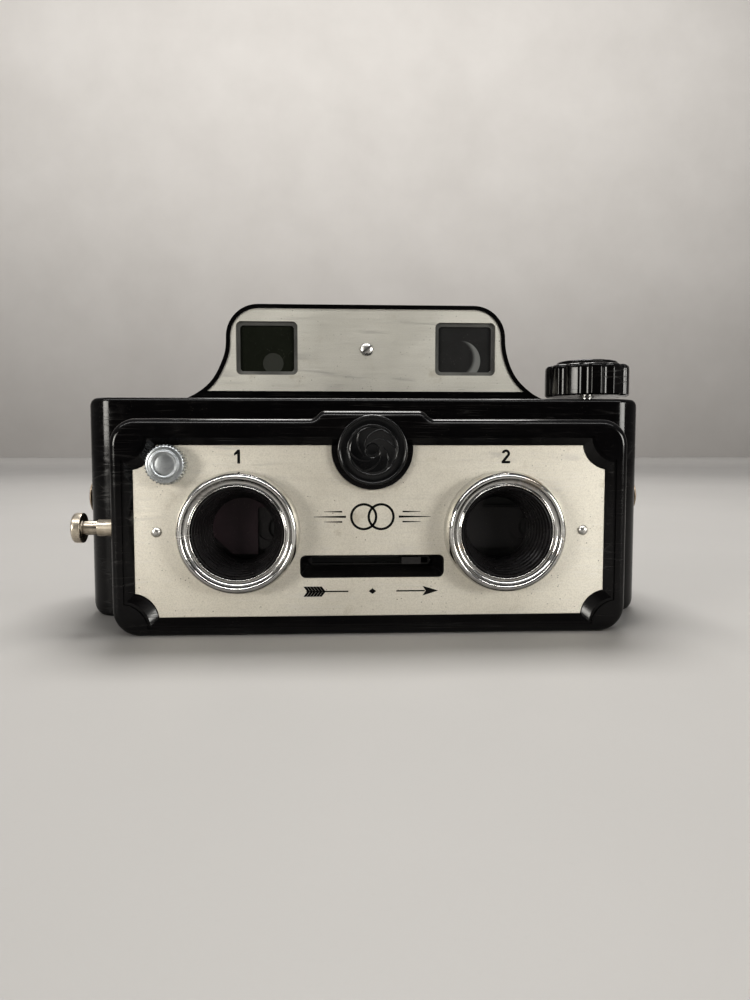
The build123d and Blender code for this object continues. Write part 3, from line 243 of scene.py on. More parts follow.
def enamel(name, col, rough=0.45, grit=0.12, metal=0.0, dust=0.25, spec=0.5):
    """Dull painted or moulded surface with dust and rubbed spots."""
    k = Mat(name)
    cloud = k.noise(120, 5, 0.65)
    speck = k.math("MULTIPLY", k.ramp(k.voro(1700), 0.20, 0.06), k.ramp(k.noise(330, 3), 0.48, 0.6))
    base = k.mix(k.ramp(cloud, 0.3, 0.7), tuple(c * 0.75 for c in col), tuple(min(1, c * 1.25) for c in col))
    base = k.mix(k.math("MULTIPLY", speck, dust), base, (0.30, 0.27, 0.23))
    k.set(Base_Color=base, Metallic=metal, Specular_IOR_Level=spec, Roughness=k.ramp(cloud, 0.3, 0.75, rough - 0.06, rough + 0.12))
    n = k.bump(k.noise(2200, 3), grit, 0.00002)
    k.set(Normal=n)
    return k.m


def glassy(name, col, rough=0.04, trans=0.0, dust=0.3, alpha=1.0):
    k = Mat(name)
    smear = k.noise(150, 5, 0.7, 0.8)
    speck = k.math("MULTIPLY", k.ramp(k.voro(1300), 0.17, 0.05), k.ramp(k.noise(260, 3), 0.46, 0.6))
    base = k.mix(k.ramp(smear, 0.3, 0.75), col, tuple(min(1, c * 1.6 + 0.004) for c in col))
    base = k.mix(k.math("MULTIPLY", speck, dust), base, (0.45, 0.43, 0.40))
    k.set(Base_Color=base, Roughness=k.ramp(smear, 0.35, 0.75, rough, rough + 0.12), IOR=1.52, Transmission_Weight=trans, Alpha=alpha)
    k.set(Normal=k.bump(smear, 0.03, 0.00005))
    return k.m


M_BAKE = bakelite("bakelite_black")
M_SHELL = bakelite("bakelite_shell", groove=True)
M_BAKE_KNOB = bakelite("bakelite_knob", 0.06, 0.8)
M_PLATE = sheet("plate_satin", (0.74, 0.70, 0.61), (0.80, 0.765, 0.68), grain=0.42, painted_centre_brightness=0.78)
M_VFPLATE = sheet("finder_plate_satin", (0.66, 0.645, 0.585), (0.72, 0.705, 0.645), rough=0.36, scratch=0.6, grain=0.36, painted_centre_brightness=0.80)
M_CHROME = plated("chrome_turned", (0.56, 0.555, 0.54), 0.06, stained=0.35, stain=(0.16, 0.13, 0.10))
M_CHROME_WORN = plated("chrome_turned_worn", (0.55, 0.545, 0.53), 0.07, stained=0.45, stain=(0.16, 0.12, 0.08), worn=0.45)
M_ZINC = plated("zinc_blue_grey", (0.42, 0.44, 0.45), 0.27, stain=(0.12, 0.12, 0.13), stained=0.5, spots=0.8)
M_NICKEL = plated("nickel_warm", (0.58, 0.52, 0.43), 0.24, stain=(0.20, 0.14, 0.08), stained=0.55)
M_STUD = plated("stud_brown", (0.42, 0.34, 0.26), 0.34, stain=(0.10, 0.06, 0.035), stained=0.7)
M_STEEL = plated("steel_bright", (0.56, 0.55, 0.53), 0.24)
M_BRASS = plated("brass_dull", (0.55, 0.40, 0.17), 0.30, stain=(0.16, 0.09, 0.03), stained=0.5)
M_HOOD = enamel("hood_black", (0.013, 0.012, 0.0125), 0.24, 0.05, dust=0.22)
M_MATT = enamel("matt_black", (0.012, 0.012, 0.012), 0.62, 0.2)
M_BLADE = enamel("blade_black", (0.016, 0.014, 0.015), 0.42, 0.05, 0.2)
M_PURPLE = enamel("blade_purple_brown", (0.036, 0.020, 0.026), 0.40, 0.06, 0.3, 0.4)
M_BADGE = enamel("badge_black", (0.0045, 0.0045, 0.005), 0.17, 0.03, dust=0.12)
M_FRAME = enamel("frame_grey", (0.10, 0.10, 0.095), 0.45, 0.08, 0.3)
M_INK = enamel("ink_black", (0.003, 0.0028, 0.0028), 0.62, 0.08, dust=0.03, spec=0.12)
M_GLASS_DARK = glassy("finder_glass", (0.030, 0.031, 0.030), 0.05)


def finder_glass(name, cx, cz, rad, ring, tint):
    """Dark finder glass with a painted lighter disc standing for the round rear eyepiece and the light seen through it.
    """
    k = Mat(name)
    x, y, z = k.sep(k.tc.outputs["Object"])[:3]
    dx, dz = k.math("SUBTRACT", x, cx * MM), k.math("SUBTRACT", z, cz * MM)
    d = k.math("SQRT", k.math("ADD", k.math("MULTIPLY", dx, dx), k.math("MULTIPLY", dz, dz)))
    # painted light: a lighter disc (cut to a ring when ring is set) standing for the rear eyepiece and the light seen
    # through the glass
    painted_view_disc = k.ramp(d, rad * MM, (rad - 0.22) * MM, 0.0, 1.0, True)
    if ring:
        ex, ez = k.math("SUBTRACT", x, (cx - 1.9) * MM), k.math("SUBTRACT", z, (cz + 0.9) * MM)
        e = k.math("SQRT", k.math("ADD", k.math("MULTIPLY", ex, ex), k.math("MULTIPLY", ez, ez)))
        painted_view_disc = k.math("MULTIPLY", painted_view_disc, k.ramp(e, (rad - 0.9) * MM, (rad + 0.5) * MM, 0.0, 1.0, True))
    smear = k.noise(150, 5, 0.7, 0.8)
    speck = k.math("MULTIPLY", k.ramp(k.voro(1300), 0.17, 0.05), k.ramp(k.noise(260, 3), 0.46, 0.6))
    base = k.mix(k.ramp(smear, 0.3, 0.75), tuple(c * 0.75 for c in tint), tint)
    # mix the painted view disc into the glass colour
    base = k.mix(k.math("MULTIPLY", painted_view_disc, 0.85), base, (0.20, 0.205, 0.20) if ring else (0.050, 0.052, 0.046))
    base = k.mix(k.math("MULTIPLY", speck, 0.2), base, (0.45, 0.43, 0.40))
    k.set(Base_Color=base, Roughness=k.ramp(smear, 0.35, 0.75, 0.05, 0.16), IOR=1.52)
    k.set(Normal=k.bump(smear, 0.03, 0.00005))
    return k.m


M_FINDER_1 = finder_glass("finder_glass_left", -29.2, 75.9, 3.3, False, (0.016, 0.018, 0.013))
M_FINDER_2 = finder_glass("finder_glass_right", 29.8, 77.0, 6.4, True, (0.034, 0.034, 0.034))
M_GLASS_LENS = glassy("lens_glass", (0.02, 0.02, 0.025), 0.03)
M_RUBY = glassy("ruby", (0.16, 0.004, 0.006), 0.08)

NODE_MAT = {
    "main_body": M_BAKE, "front_shell": M_SHELL, "back_cover": M_BAKE, "viewfinder_casing": M_BAKE,
    "winding_knob": M_BAKE_KNOB, "light_box": M_MATT, "take_up_spool": M_MATT, "supply_spool": M_MATT,
    "lens_hood_1": M_HOOD, "lens_hood_2": M_HOOD, "face_plate": M_PLATE, "viewfinder_plate": M_VFPLATE,
    "lens_bezel_1": M_CHROME, "lens_bezel_2": M_CHROME_WORN, "face_plate_pins": M_STEEL, "medallion": M_BADGE,
    "selector_knob": M_ZINC, "release_plunger": M_NICKEL, "plunger_bush": M_NICKEL,
    "strap_stud_left": M_STUD, "strap_stud_right": M_STUD,
    "pressure_plate": M_BLADE, "shutter_base_plate": M_MATT, "shutter_slide": M_BLADE, "preset_tab": M_HOOD,
    "capping_blade": M_BLADE, "blanking_blade": M_PURPLE,
    "shutter_guides": M_BLADE, "lens_cell_1": M_BRASS, "lens_cell_2": M_BRASS, "pressure_springs": M_BRASS, "spool_springs": M_BRASS,
    "lens_glass_1": M_GLASS_LENS, "lens_glass_2": M_GLASS_LENS,
    "finder_front_lens_1": M_FINDER_1, "finder_front_lens_2": M_FINDER_2,
    "finder_rear_lens_1": M_GLASS_DARK, "finder_rear_lens_2": M_GLASS_DARK, "ruby_window": M_RUBY,
    "finder_window_frame_1": M_FRAME, "finder_window_frame_2": M_FRAME,
    "finder_eyepiece_1": M_HOOD, "finder_eyepiece_2": M_HOOD,
}


def sharpen(me, deg=32):
    """Smooth shading with hard edges where faces meet at more than deg."""
    bm = bmesh.new()
    bm.from_mesh(me)
    lim = math.radians(deg)
    for f in bm.faces:
        f.smooth = True
    for e in bm.edges:
        e.smooth = not (len(e.link_faces) == 2 and e.calc_face_angle(0.0) > lim)
    bm.to_mesh(me)
    bm.free()


for name, o in N.items():
    m = NODE_MAT.get(name, M_STEEL)
    o.data.materials.clear()
    o.data.materials.append(m)

# ------------------------------------------------------------------ mesh tools


def piece(name, verts, faces, mat, body, deg=32, replaces=(), slot=None):
    me = bpy.data.meshes.new(name)
    me.from_pydata([Vector(v) * MM for v in verts], [], faces)
    me.update()
    bm = bmesh.new()
    bm.from_mesh(me)
    bmesh.ops.recalc_face_normals(bm, faces=bm.faces)
    bm.to_mesh(me)
    bm.free()
    sharpen(me, deg)
    me.materials.append(mat)
    o = bpy.data.objects.new(name, me)
    scene.collection.objects.link(o)
    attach(o, body)
    if replaces:
        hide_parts(*replaces)
    return o


def rnd(prof, rad, closed=True, n=4):
    """Rounds the corners of a 2-D polyline with short quadratic curves. rad is one number or one per point."""
    out = []
    cnt = len(prof)
    for i, p in enumerate(prof):
        r = rad[i] if isinstance(rad, (list, tuple)) else rad
        if r <= 0 or (not closed and i in (0, cnt - 1)):
            out.append(p)
            continue
        a, b = Vector(prof[i - 1]), Vector(prof[(i + 1) % cnt])
        q = Vector(p)
        da, db = (a - q), (b - q)
        la, lb = min(r, da.length * 0.48), min(r, db.length * 0.48)
        if la < 1e-6 or lb < 1e-6:
            out.append(p)
            continue
        s, e = q + da.normalized() * la, q + db.normalized() * lb
        for k in range(n + 1):
            t = k / n
            v = s * (1 - t) ** 2 + q * 2 * t * (1 - t) + e * t * t
            out.append((v.x, v.y))
    return out


def crom(pts, n=6):
    """Catmull-Rom through the points."""
    out = []
    for i in range(len(pts) - 1):
        p0 = Vector(pts[max(i - 1, 0)])
        p1 = Vector(pts[i])
        p2 = Vector(pts[i + 1])
        p3 = Vector(pts[min(i + 2, len(pts) - 1)])
        for k in range(n):
            t = k / n
            v = 0.5 * ((2 * p1) + (p2 - p0) * t + (2 * p0 - 5 * p1 + 4 * p2 - p3) * t * t + (3 * p1 - p0 - 3 * p2 + p3) * t ** 3)
            out.append((v.x, v.y))
    out.append(tuple(pts[-1]))
    return out


def lathe_data(prof, centre, axis, seg=160, mod=None, closed=True, base=0):
    """Rings of a profile (radius, height along axis) about an axis through centre. A closed profile makes a ring; an open one starts and ends on the axis."""
    verts, faces, rings = [], [], []
    for i, (r, h) in enumerate(prof):
        if r < 1e-6:
            rings.append([len(verts)])
            rr, hh = (0.0, h) if mod is None else (0.0, mod(0.0, 0.0, h, i)[1])
            verts.append((0.0, 0.0, hh))
        else:
            ring = []
            for k in range(seg):
                th = 2 * math.pi * k / seg
                rr, hh = (r, h) if mod is None else mod(th, r, h, i)
                ring.append(len(verts))
                verts.append((rr * math.cos(th), rr * math.sin(th), hh))
            rings.append(ring)
    pairs = list(zip(rings, rings[1:])) + ([(rings[-1], rings[0])] if closed else [])
    for a, b in pairs:
        if len(a) == 1 and len(b) == 1:
            continue
        for k in range(seg):
            j = (k + 1) % seg
            if len(a) == 1:
                faces.append((a[0], b[k], b[j]))
            elif len(b) == 1:
                faces.append((a[k], a[j], b[0]))
            else:
                faces.append((a[k], a[j], b[j], b[k]))
    cx, cy, cz = centre
    out = []
    for x, y, h in verts:
        if axis == "Y":
            out.append((cx + x, h, cz + y))
        elif axis == "X":
            out.append((h, cy + x, cz + y))
        else:
            out.append((cx + x, cy + y, h))
    return out, [tuple(i + base for i in f) for f in faces]


def lathe(name, prof, centre, axis, mat, body, seg=160, mod=None, closed=True, deg=32, **kw):
    v, f = lathe_data(prof, centre, axis, seg, mod, closed)
    return piece(name, v, f, mat, body, deg, **kw)


def prism(outline, y0, y1, base=0):
    """A closed outline in (x, z) as a slab between y0 (front) and y1."""
    n = len(outline)
    v = [(x, y0, z) for x, z in outline] + [(x, y1, z) for x, z in outline]
    f = [tuple(base + i for i in range(n)), tuple(base + i for i in reversed(range(n, 2 * n)))]
    f += [(base + i, base + (i + 1) % n, base + n + (i + 1) % n, base + n + i) for i in range(n)]
    return v, f


def tube(path, rad, seg=10, cap=True):
    verts, faces = [], []
    n = len(path)
    up = Vector((0.123, 0.3, 0.94)).normalized()
    for i, p in enumerate(path):
        t = (Vector(path[min(i + 1, n - 1)]) - Vector(path[max(i - 1, 0)])).normalized()
        u = t.cross(up).normalized()
        up = u.cross(t).normalized()
        for k in range(seg):
            a = 2 * math.pi * k / seg
            q = Vector(p) + (u * math.cos(a) + up * math.sin(a)) * rad
            verts.append(tuple(q))
    for i in range(n - 1):
        for k in range(seg):
            j = (k + 1) % seg
            faces.append((i * seg + k, i * seg + j, (i + 1) * seg + j, (i + 1) * seg + k))
    if cap:
        faces.append(tuple(range(seg)))
        faces.append(tuple(reversed(range((n - 1) * seg, n * seg))))
    return verts, faces


# ------------------------------------------------------------------ turned pieces
LX, LZ = 35.0, 27.4
for i, sx in ((1, -1), (2, 1)):
    crest = crom([(16.0, -35.9), (15.93, -37.4), (15.65, -38.8), (15.15, -39.65), (14.6, -39.98), (14.12, -39.82),
                  (13.72, -39.3), (13.25, -38.86), (12.8, -38.75), (12.45, -38.95), (12.2, -39.12), (12.02, -38.95)], 5)
    prof = [(11.96, -34.04), (16.0, -34.04), (16.0, -35.4)] + crest + [(11.96, -38.6)]
    lathe("bezel_%d" % i, prof, (sx * LX, 0, LZ), "Y", M_CHROME if i == 1 else M_CHROME_WORN, "camera", 192, deg=40,
          replaces=["lens_bezel_%d" % i], slot="lens_bezel_%d" % i)
    prof = [(11.90, -38.25), (11.72, -38.62), (11.5, -38.66)]
    n, y0, r0, y1, r1 = 8, -38.3, 11.32, -25.25, 8.4
    for k in range(n):
        ya, yb = y0 + (y1 - y0) * k / n, y0 + (y1 - y0) * (k + 1) / n
        ra, rb = r0 + (r1 - r0) * k / n, r0 + (r1 - r0) * (k + 1) / n
        prof += [(ra, ya), (ra - 0.10, ya + 0.18), (ra - 0.16, yb - 0.74), (ra - 0.06, yb - 0.62), (rb + 0.02, yb - 0.30)]
    prof += [(8.4, -25.02), (13.5, -25.02), (13.5, -26.5), (13.0, -27.0), (13.0, -30.88), (11.90, -30.88)]
    lathe("hood_%d" % i, prof, (sx * LX, 0, LZ), "Y", M_HOOD, "camera", 160, deg=34,
          replaces=["lens_hood_%d" % i], slot="lens_hood_%d" % i)


# winding knob: twelve flutes, rounded lobes, domed disc
def flute(th):
    d = (math.degrees(th) - 10.0) % 30.0
    d = math.radians(d - 30.0 if d > 15 else d)
    s = 14.55 * math.sin(abs(d))
    r = 12.85
    if s < 2.6:
        q = 14.55 * math.cos(d) - math.sqrt(2.6 ** 2 - s ** 2)
        k = 0.35
        h = max(0.0, min(1.0, 0.5 + 0.5 * (r - q) / k))
        r = r * (1 - h) + q * h - k * h * (1 - h)
    return r


side = [(-0.0, 65.5)]
prof = [(0.0, 65.52), (6.0, 65.52), (11.2, 65.5), (12.3, 65.5), (12.85, 65.85), (12.85, 68.0), (12.85, 71.0), (12.85, 73.6),
        (12.78, 74.2), (12.55, 74.65), (12.2, 74.93), (11.75, 75.06), (11.2, 75.08), (10.2, 75.02), (9.6, 75.0),
        (9.42, 75.08), (9.34, 75.3), (9.3, 75.75), (9.22, 76.05), (8.95, 76.26), (8.3, 76.4), (7.0, 76.58), (5.0, 76.79), (2.5, 76.95), (0.0, 77.0)]


def knob_mod(th, r, h, i):
    if r > 9.6:
        full = flute(th)
        w = min(1.0, max(0.0, (r - 10.2) / 1.0)) if r < 11.2 else 1.0
        return r - (12.85 - full) * w, h
    return r, h


lathe("winding_knob_turned", prof, (69.2, 3.0, 0), "Z", M_BAKE_KNOB, "winding", 360, knob_mod, closed=False, deg=50,
      replaces=["winding_knob"], slot="winding_knob")

# knurled selector knob
SX, SZ = -53.3, 45.1


def knurl(th, r, h, i):
    if r > 4.85 and -38.0 < h < -34.5:
        c = 0.5 + 0.5 * math.cos(33 * th)
        return r - 0.36 * (c ** 1.5), h
    return r, h


prof = [(0.0, -34.32), (4.6, -34.32), (4.8, -34.45), (5.25, -34.75), (5.25, -35.6), (5.25, -36.6), (5.25, -37.5), (5.0, -37.86),
        (4.78, -38.02), (4.55, -38.14), (4.1, -38.16), (3.75, -38.16), (3.62, -38.3), (3.5, -38.5), (3.3, -38.56), (3.08, -38.5),
        (2.95, -38.3), (2.8, -38.22), (2.2, -38.34), (1.4, -38.46), (0.0, -38.52)]
lathe("selector_knob_knurled", prof, (SX, 0, SZ), "Y", M_ZINC, "selector", 396, knurl, closed=False, deg=48,
      replaces=["selector_knob"], slot="selector_knob")

# badge: rings and a six-leaf iris relief
prof = [(0.0, -34.05), (9.0, -34.05), (9.25, -34.2), (9.25, -35.9), (9.17, -36.2), (8.98, -36.36), (8.75, -36.4), (8.52, -36.34),
        (8.38, -36.15), (8.3, -35.82), (8.1, -35.78), (7.2, -35.80), (6.82, -35.84), (6.7, -36.0), (6.52, -36.06), (6.34, -36.0), (6.22, -35.84)]
rr = 6.1
while rr > 1.85:
    prof.append((rr, -35.80))
    rr -= 0.12
prof += [(1.8, -35.84), (1.7, -36.0), (1.5, -36.06), (1.3, -36.0), (1.2, -35.84), (0.6, -35.80), (0.0, -35.80)]


def iris(th, r, h, i):
    if 1.84 < r < 6.15:
        a = (th / (2 * math.pi) * 6 + 1.55 * math.log(r / 1.8)) % 1.0
        edge = min(1.0, (6.15 - r) / 0.3, (r - 1.84) / 0.2)
        step = a / 0.93 if a < 0.93 else (1.0 - a) / 0.07
        return r, h - 0.26 * step * edge
    return r, h


lathe("badge_iris", prof, (0, 0, 48.8), "Y", M_BADGE, "camera", 360, iris, closed=False, deg=40, replaces=["medallion"], slot="medallion")

# dome pins
v, f = [], []
for sx in (-1, 1):
    dome = [(0.0, -34.8), (0.4, -34.78), (0.8, -34.66), (1.12, -34.45), (1.33, -34.18), (1.4, -34.03), (0.0, -34.02)]
    vv, ff = lathe_data(dome, (sx * 56.6, 0, LZ), "Y", 48, None, False, len(v))
    v += vv
    f += ff
piece("plate_pins_domed", v, f, M_STEEL, "camera", 50, replaces=["face_plate_pins"], slot="face_plate_pins")

# release plunger
PY, PZ = -24.0, 27.6
prof = [(0.0, -80.9), (2.0, -80.9), (3.55, -80.88), (3.8, -80.82), (3.98, -80.66), (4.08, -80.42), (4.1, -80.1), (4.1, -78.7),
        (4.07, -78.5), (3.96, -78.38), (3.75, -78.35), (3.58, -78.42), (3.46, -78.62), (3.3, -78.78), (2.6, -78.82), (2.1, -78.8), (1.97, -78.66),
        (1.95, -78.3), (1.95, -74.2), (1.85, -74.0), (1.6, -74.0), (1.6, -64.5), (1.3, -64.2), (0.0, -64.2)]
lathe("plunger_turned", prof, (0, PY, PZ), "X", M_NICKEL, "release_plunger", 96, closed=False, deg=42,
      replaces=["release_plunger"], slot="release_plunger")
prof = rnd([(2.02, -74.5), (2.3, -74.5), (2.3, -69.3), (3.6, -69.3), (3.6, -68.12), (3.0, -68.12), (3.0, -65.5), (1.66, -65.5), (1.66, -67.6), (2.02, -67.6)], 0.10)
lathe("bush_turned", prof, (0, PY, PZ), "X", M_NICKEL, "camera", 96, deg=42, replaces=["plunger_bush"], slot="plunger_bush")
path = []
turns, x0, x1 = 4.07, -73.8, -67.9
for k in range(int(turns * 28) + 1):
    a = 2 * math.pi * k / 28
    path.append((x0 + (x1 - x0) * k / (turns * 28), PY + 1.82 * math.cos(a), PZ + 1.82 * math.sin(a)))
v, f = tube(path, 0.13, 8)
spring = piece("plunger_spring_coil", v, f, M_STEEL, "camera", 60, replaces=["plunger_spring"], slot="plunger_spring")
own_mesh(spring)

# driving spring of the shutter slide
path = []
for k in range(int(34.6 / 2.1 * 20) + 1):
    a = 2 * math.pi * k / 20
    path.append((20.9 + 2.1 * k / 20, -24.95 + 1.25 * math.cos(a), 43.2 + 1.25 * math.sin(a)))
v, f = tube(path, 0.2, 8)
drive = piece("shutter_spring_coil", v, f, M_STEEL, "camera", 60, replaces=["shutter_spring"], slot="shutter_spring")
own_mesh(drive)

# strap studs: thin disc, rivet head, short neck
for name, sx in (("strap_stud_left", -1), ("strap_stud_right", 1)):
    x = 82.5
    prof = [(0.0, sx * (x + 1.62)), (0.7, sx * (x + 1.6)), (1.15, sx * (x + 1.48)), (1.3, sx * (x + 1.36)), (2.6, sx * (x + 1.4)), (4.2, sx * (x + 1.44)),
            (4.55, sx * (x + 1.42)), (4.72, sx * (x + 1.28)), (4.72, sx * (x + 0.98)), (4.55, sx * (x + 0.82)), (2.3, sx * (x + 0.78)), (2.2, sx * (x + 0.6)), (2.2, sx * (x + 0.06)), (1.2, sx * (x + 0.06)), (1.2, sx * (x - 3.8)), (0.0, sx * (x - 3.8))]
    lathe(name + "_turned", prof, (0, 2.5, 34.6), "X", M_STUD, "camera", 96, closed=False, deg=40, replaces=[name], slot=name)

# finder eyepieces
for i, sx in ((1, -1), (2, 1)):
    prof = [(4.76, 33.2), (5.44, 33.2), (5.44, 37.04), (6.9, 37.04), (7.0, 37.2), (7.0, 38.1), (6.85, 38.45), (6.5, 38.6), (5.2, 38.6), (4.75, 38.45),
            (4.45, 38.0), (4.4, 37.3), (4.45, 37.0), (4.76, 36.95)]
    lathe("eyepiece_%d" % i, prof, (sx * 31.0, 0, 80.4), "Y", M_HOOD, "camera", 96, deg=40,
          replaces=["finder_eyepiece_%d" % i], slot="finder_eyepiece_%d" % i)

# finder screw with a milled slot, worn
a = math.radians(38)
vs, fs = [], []
R = 2.05


def dome_y(x, z):
    q = (x * x + z * z) / (R * R)
    return 4.95 - 0.72 * max(0.0, 1 - q) ** 0.6


segs = 64
halves = []
for side_sign in (-1, 1):
    g = 0.30
    rows = []
    nu, nv = 18, 12
    half_w = math.sqrt(R * R - g * g)
    for iu in range(nu + 1):
        u = -half_w + 2 * half_w * iu / nu
        top = math.sqrt(max(R * R - u * u, g * g))
        row = []
        for iv in range(nv + 1):
            w = g + (top - g) * iv / nv
            x, z = u * math.cos(a) - side_sign * w * math.sin(a), u * math.sin(a) + side_sign * w * math.cos(a)
            row.append((x, dome_y(x, z), z + 80.2))
        rows.append(row)
    base = len(vs)
    idx = {}
    for iu in range(nu + 1):
        for iv in range(nv + 1):
            idx[(iu, iv)] = len(vs)
            vs.append(rows[iu][iv])
    low = {}
    for iu in range(nu + 1):
        for iv in range(nv + 1):
            x, y, z = rows[iu][iv]
            low[(iu, iv)] = len(vs)
            vs.append((x, 4.96, z))
    for iu in range(nu):
        for iv in range(nv):
            fs.append((idx[(iu, iv)], idx[(iu + 1, iv)], idx[(iu + 1, iv + 1)], idx[(iu, iv + 1)]))
            fs.append((low[(iu, iv)], low[(iu, iv + 1)], low[(iu + 1, iv + 1)], low[(iu + 1, iv)]))
        fs.append((idx[(iu, 0)], low[(iu, 0)], low[(iu + 1, 0)], idx[(iu + 1, 0)]))
        fs.append((idx[(iu, nv)], idx[(iu + 1, nv)], low[(iu + 1, nv)], low[(iu, nv)]))
    for iv in range(nv):
        fs.append((idx[(0, iv)], idx[(0, iv + 1)], low[(0, iv + 1)], low[(0, iv)]))
        fs.append((idx[(nu, iv)], low[(nu, iv)], low[(nu, iv + 1)], idx[(nu, iv + 1)]))
core, cf = lathe_data([(0.0, 4.72), (1.98, 4.72), (1.98, 4.97), (0.9, 4.97), (0.9, 11.5), (0.0, 11.5)], (0, 0, 80.2), "Y", 48, None, False, len(vs))
vs += core
fs += cf
piece("finder_screw_slotted", vs, fs, M_STEEL, "camera", 40, replaces=["finder_screw"], slot="finder_screw")

# ------------------------------------------------------------------ printed marks: numerals and fletched arrow, 0.03 mm proud
PF = -34.0


def mark(name, loops, mat=M_INK, y=PF):
    v, f = [], []
    for lp in loops:
        vv, ff = prism(lp, y - 0.035, y + 0.02, len(v))
        v += vv
        f += ff
    return piece(name, v, f, mat, "camera", 30, slot="medallion")


mark("numeral_one", [[(-36.15, 47.95), (-35.2, 48.95), (-34.62, 48.95), (-34.62, 45.3), (-35.32, 45.3), (-35.32, 47.85), (-36.15, 47.35)]])
cx, cz = 35.5, 47.1
arc = []
for k in range(15):
    t = math.radians(170 - k * (170 + 42) / 14)
    arc.append((cx + 1.10 * math.cos(t), cz + 0.78 + 1.08 * math.sin(t)))
inner = [(cx + (px - cx) * 0.40, cz + 0.78 + (pz - cz - 0.78) * 0.40) for px, pz in arc]
quads = [[arc[k], arc[k + 1], inner[k + 1], inner[k]] for k in range(14)]
quads.append([arc[-1], (cx - 0.20, cz - 1.25), (cx - 1.12, cz - 1.25), inner[-1]])
quads.append([(cx - 1.12, cz - 1.17), (cx + 1.15, cz - 1.17), (cx + 1.15, cz - 1.80), (cx - 1.12, cz - 1.80)])
mark("numeral_two", quads)

# arrow under the preset slot: feathers, shaft with a centre gap, head
az = 11.3
loops = [[(-12.6, az - 0.17), (-6.4, az - 0.17), (-6.4, az + 0.17), (-12.6, az + 0.17)],
         [(6.4, az - 0.17), (14.0, az - 0.17), (14.0, az + 0.17), (6.4, az + 0.17)],
         [(13.4, az - 1.3), (17.6, az), (13.4, az + 1.3), (14.3, az)]]
for k in range(6):
    x = -17.3 + k * 0.82
    loops.append([(x, az), (x + 0.75, az), (x - 0.29, az + 1.35), (x - 1.04, az + 1.35)])
    loops.append([(x, az), (x - 1.04, az - 1.35), (x - 0.29, az - 1.35), (x + 0.75, az)])
loops.append([(-17.6, az - 0.10), (-12.5, az - 0.10), (-12.5, az + 0.10), (-17.6, az + 0.10)])
loops.append([(-1.0, az), (0, az + 0.75), (1.0, az), (0, az - 0.75)])
mark("preset_arrow", loops)


def ringloops(x, z, r, w, n=48, a0=0, a1=360):
    out = []
    for k in range(n):
        t0, t1 = math.radians(a0 + (a1 - a0) * k / n), math.radians(a0 + (a1 - a0) * (k + 1) / n)
        out.append([(x + r * math.cos(t0), z + r * math.sin(t0)), (x + r * math.cos(t1), z + r * math.sin(t1)),
                    (x + (r - w) * math.cos(t1), z + (r - w) * math.sin(t1)), (x + (r - w) * math.cos(t0), z + (r - w) * math.sin(t0))])
    return out


orn = ringloops(-2.3, 31.2, 3.6, 0.62) + ringloops(2.3, 31.2, 3.6, 0.62)
for s in (-1, 1):
    orn.append([(s * 7.0, 31.48), (s * 15.5, 31.26), (s * 15.5, 31.14), (s * 7.0, 30.92)])
    orn.append([(s * 8.0, 32.75), (s * 12.8, 32.6), (s * 12.8, 32.5), (s * 8.0, 32.35)])
    orn.append([(s * 8.0, 30.05), (s * 12.8, 29.9), (s * 12.8, 29.8), (s * 8.0, 29.65)])
mark("plate_ornament", orn)

# ------------------------------------------------------------------ stage
def floor_material():
    k = Mat("floor_pale")
    cloud = k.noise(3.0, 5, 0.6)
    base = k.mix(k.ramp(cloud, 0.3, 0.7), (0.40, 0.39, 0.375), (0.435, 0.423, 0.408))
    base = k.mix(k.math("MULTIPLY", k.ramp(k.noise(900, 2), 0.6, 0.75), 0.2), base, (0.40, 0.385, 0.37))
    k.set(Base_Color=base, Roughness=0.6)
    k.set(Normal=k.bump(k.noise(500, 3), 0.05, 0.0001))
    return k.m


def wall_material():
    k = Mat("wall_pale")
    base = k.mix(k.ramp(k.noise(2.0, 4, 0.6), 0.3, 0.7), (0.68, 0.655, 0.625), (0.74, 0.715, 0.685))
    # painted shade: the wall darkens towards its foot, fading out 1.4 m up
    base = k.mix(k.ramp(k.sep(k.tc.outputs["Object"])[2], 0.0, 1.4, 0.28, 0.0), base, (0.20, 0.19, 0.18))
    k.set(Base_Color=base, Roughness=0.8)
    return k.m


def sheet_mesh(name, corners, mat):
    me = bpy.data.meshes.new(name)
    me.from_pydata(corners, [], [(0, 1, 2, 3)])
    me.materials.append(mat)
    o = bpy.data.objects.new(name, me)
    scene.collection.objects.link(o)
    return o


sheet_mesh("floor", [(-9, -4, 0), (9, -4, 0), (9, 5, 0), (-9, 5, 0)], floor_material())
sheet_mesh("wall", [(-9, 5, -0.01), (9, 5, -0.01), (9, 5, 5), (-9, 5, 5)], wall_material())

world = bpy.data.worlds.new("studio")
scene.world = world
world.use_nodes = True
wn = world.node_tree
wn.nodes.clear()
wo = wn.nodes.new("ShaderNodeOutputWorld")
bg = wn.nodes.new("ShaderNodeBackground")
tc = wn.nodes.new("ShaderNodeTexCoord")
sp = wn.nodes.new("ShaderNodeSeparateXYZ")
cr = wn.nodes.new("ShaderNodeValToRGB")
wn.links.new(tc.outputs["Generated"], sp.inputs[0])
mr = wn.nodes.new("ShaderNodeMapRange")
mr.inputs["From Min"].default_value = -1.0
mr.inputs["From Max"].default_value = 1.0
wn.links.new(sp.outputs[2], mr.inputs["Value"])
wn.links.new(mr.outputs[0], cr.inputs[0])
els = cr.color_ramp.elements
els[0].position = 0.45
els[0].color = (0.30, 0.29, 0.28, 1)
els[1].position = 0.95
els[1].color = (0.80, 0.80, 0.82, 1)
e = els.new(0.55)
e.color = (0.46, 0.445, 0.43, 1)
dot = wn.nodes.new("ShaderNodeVectorMath")
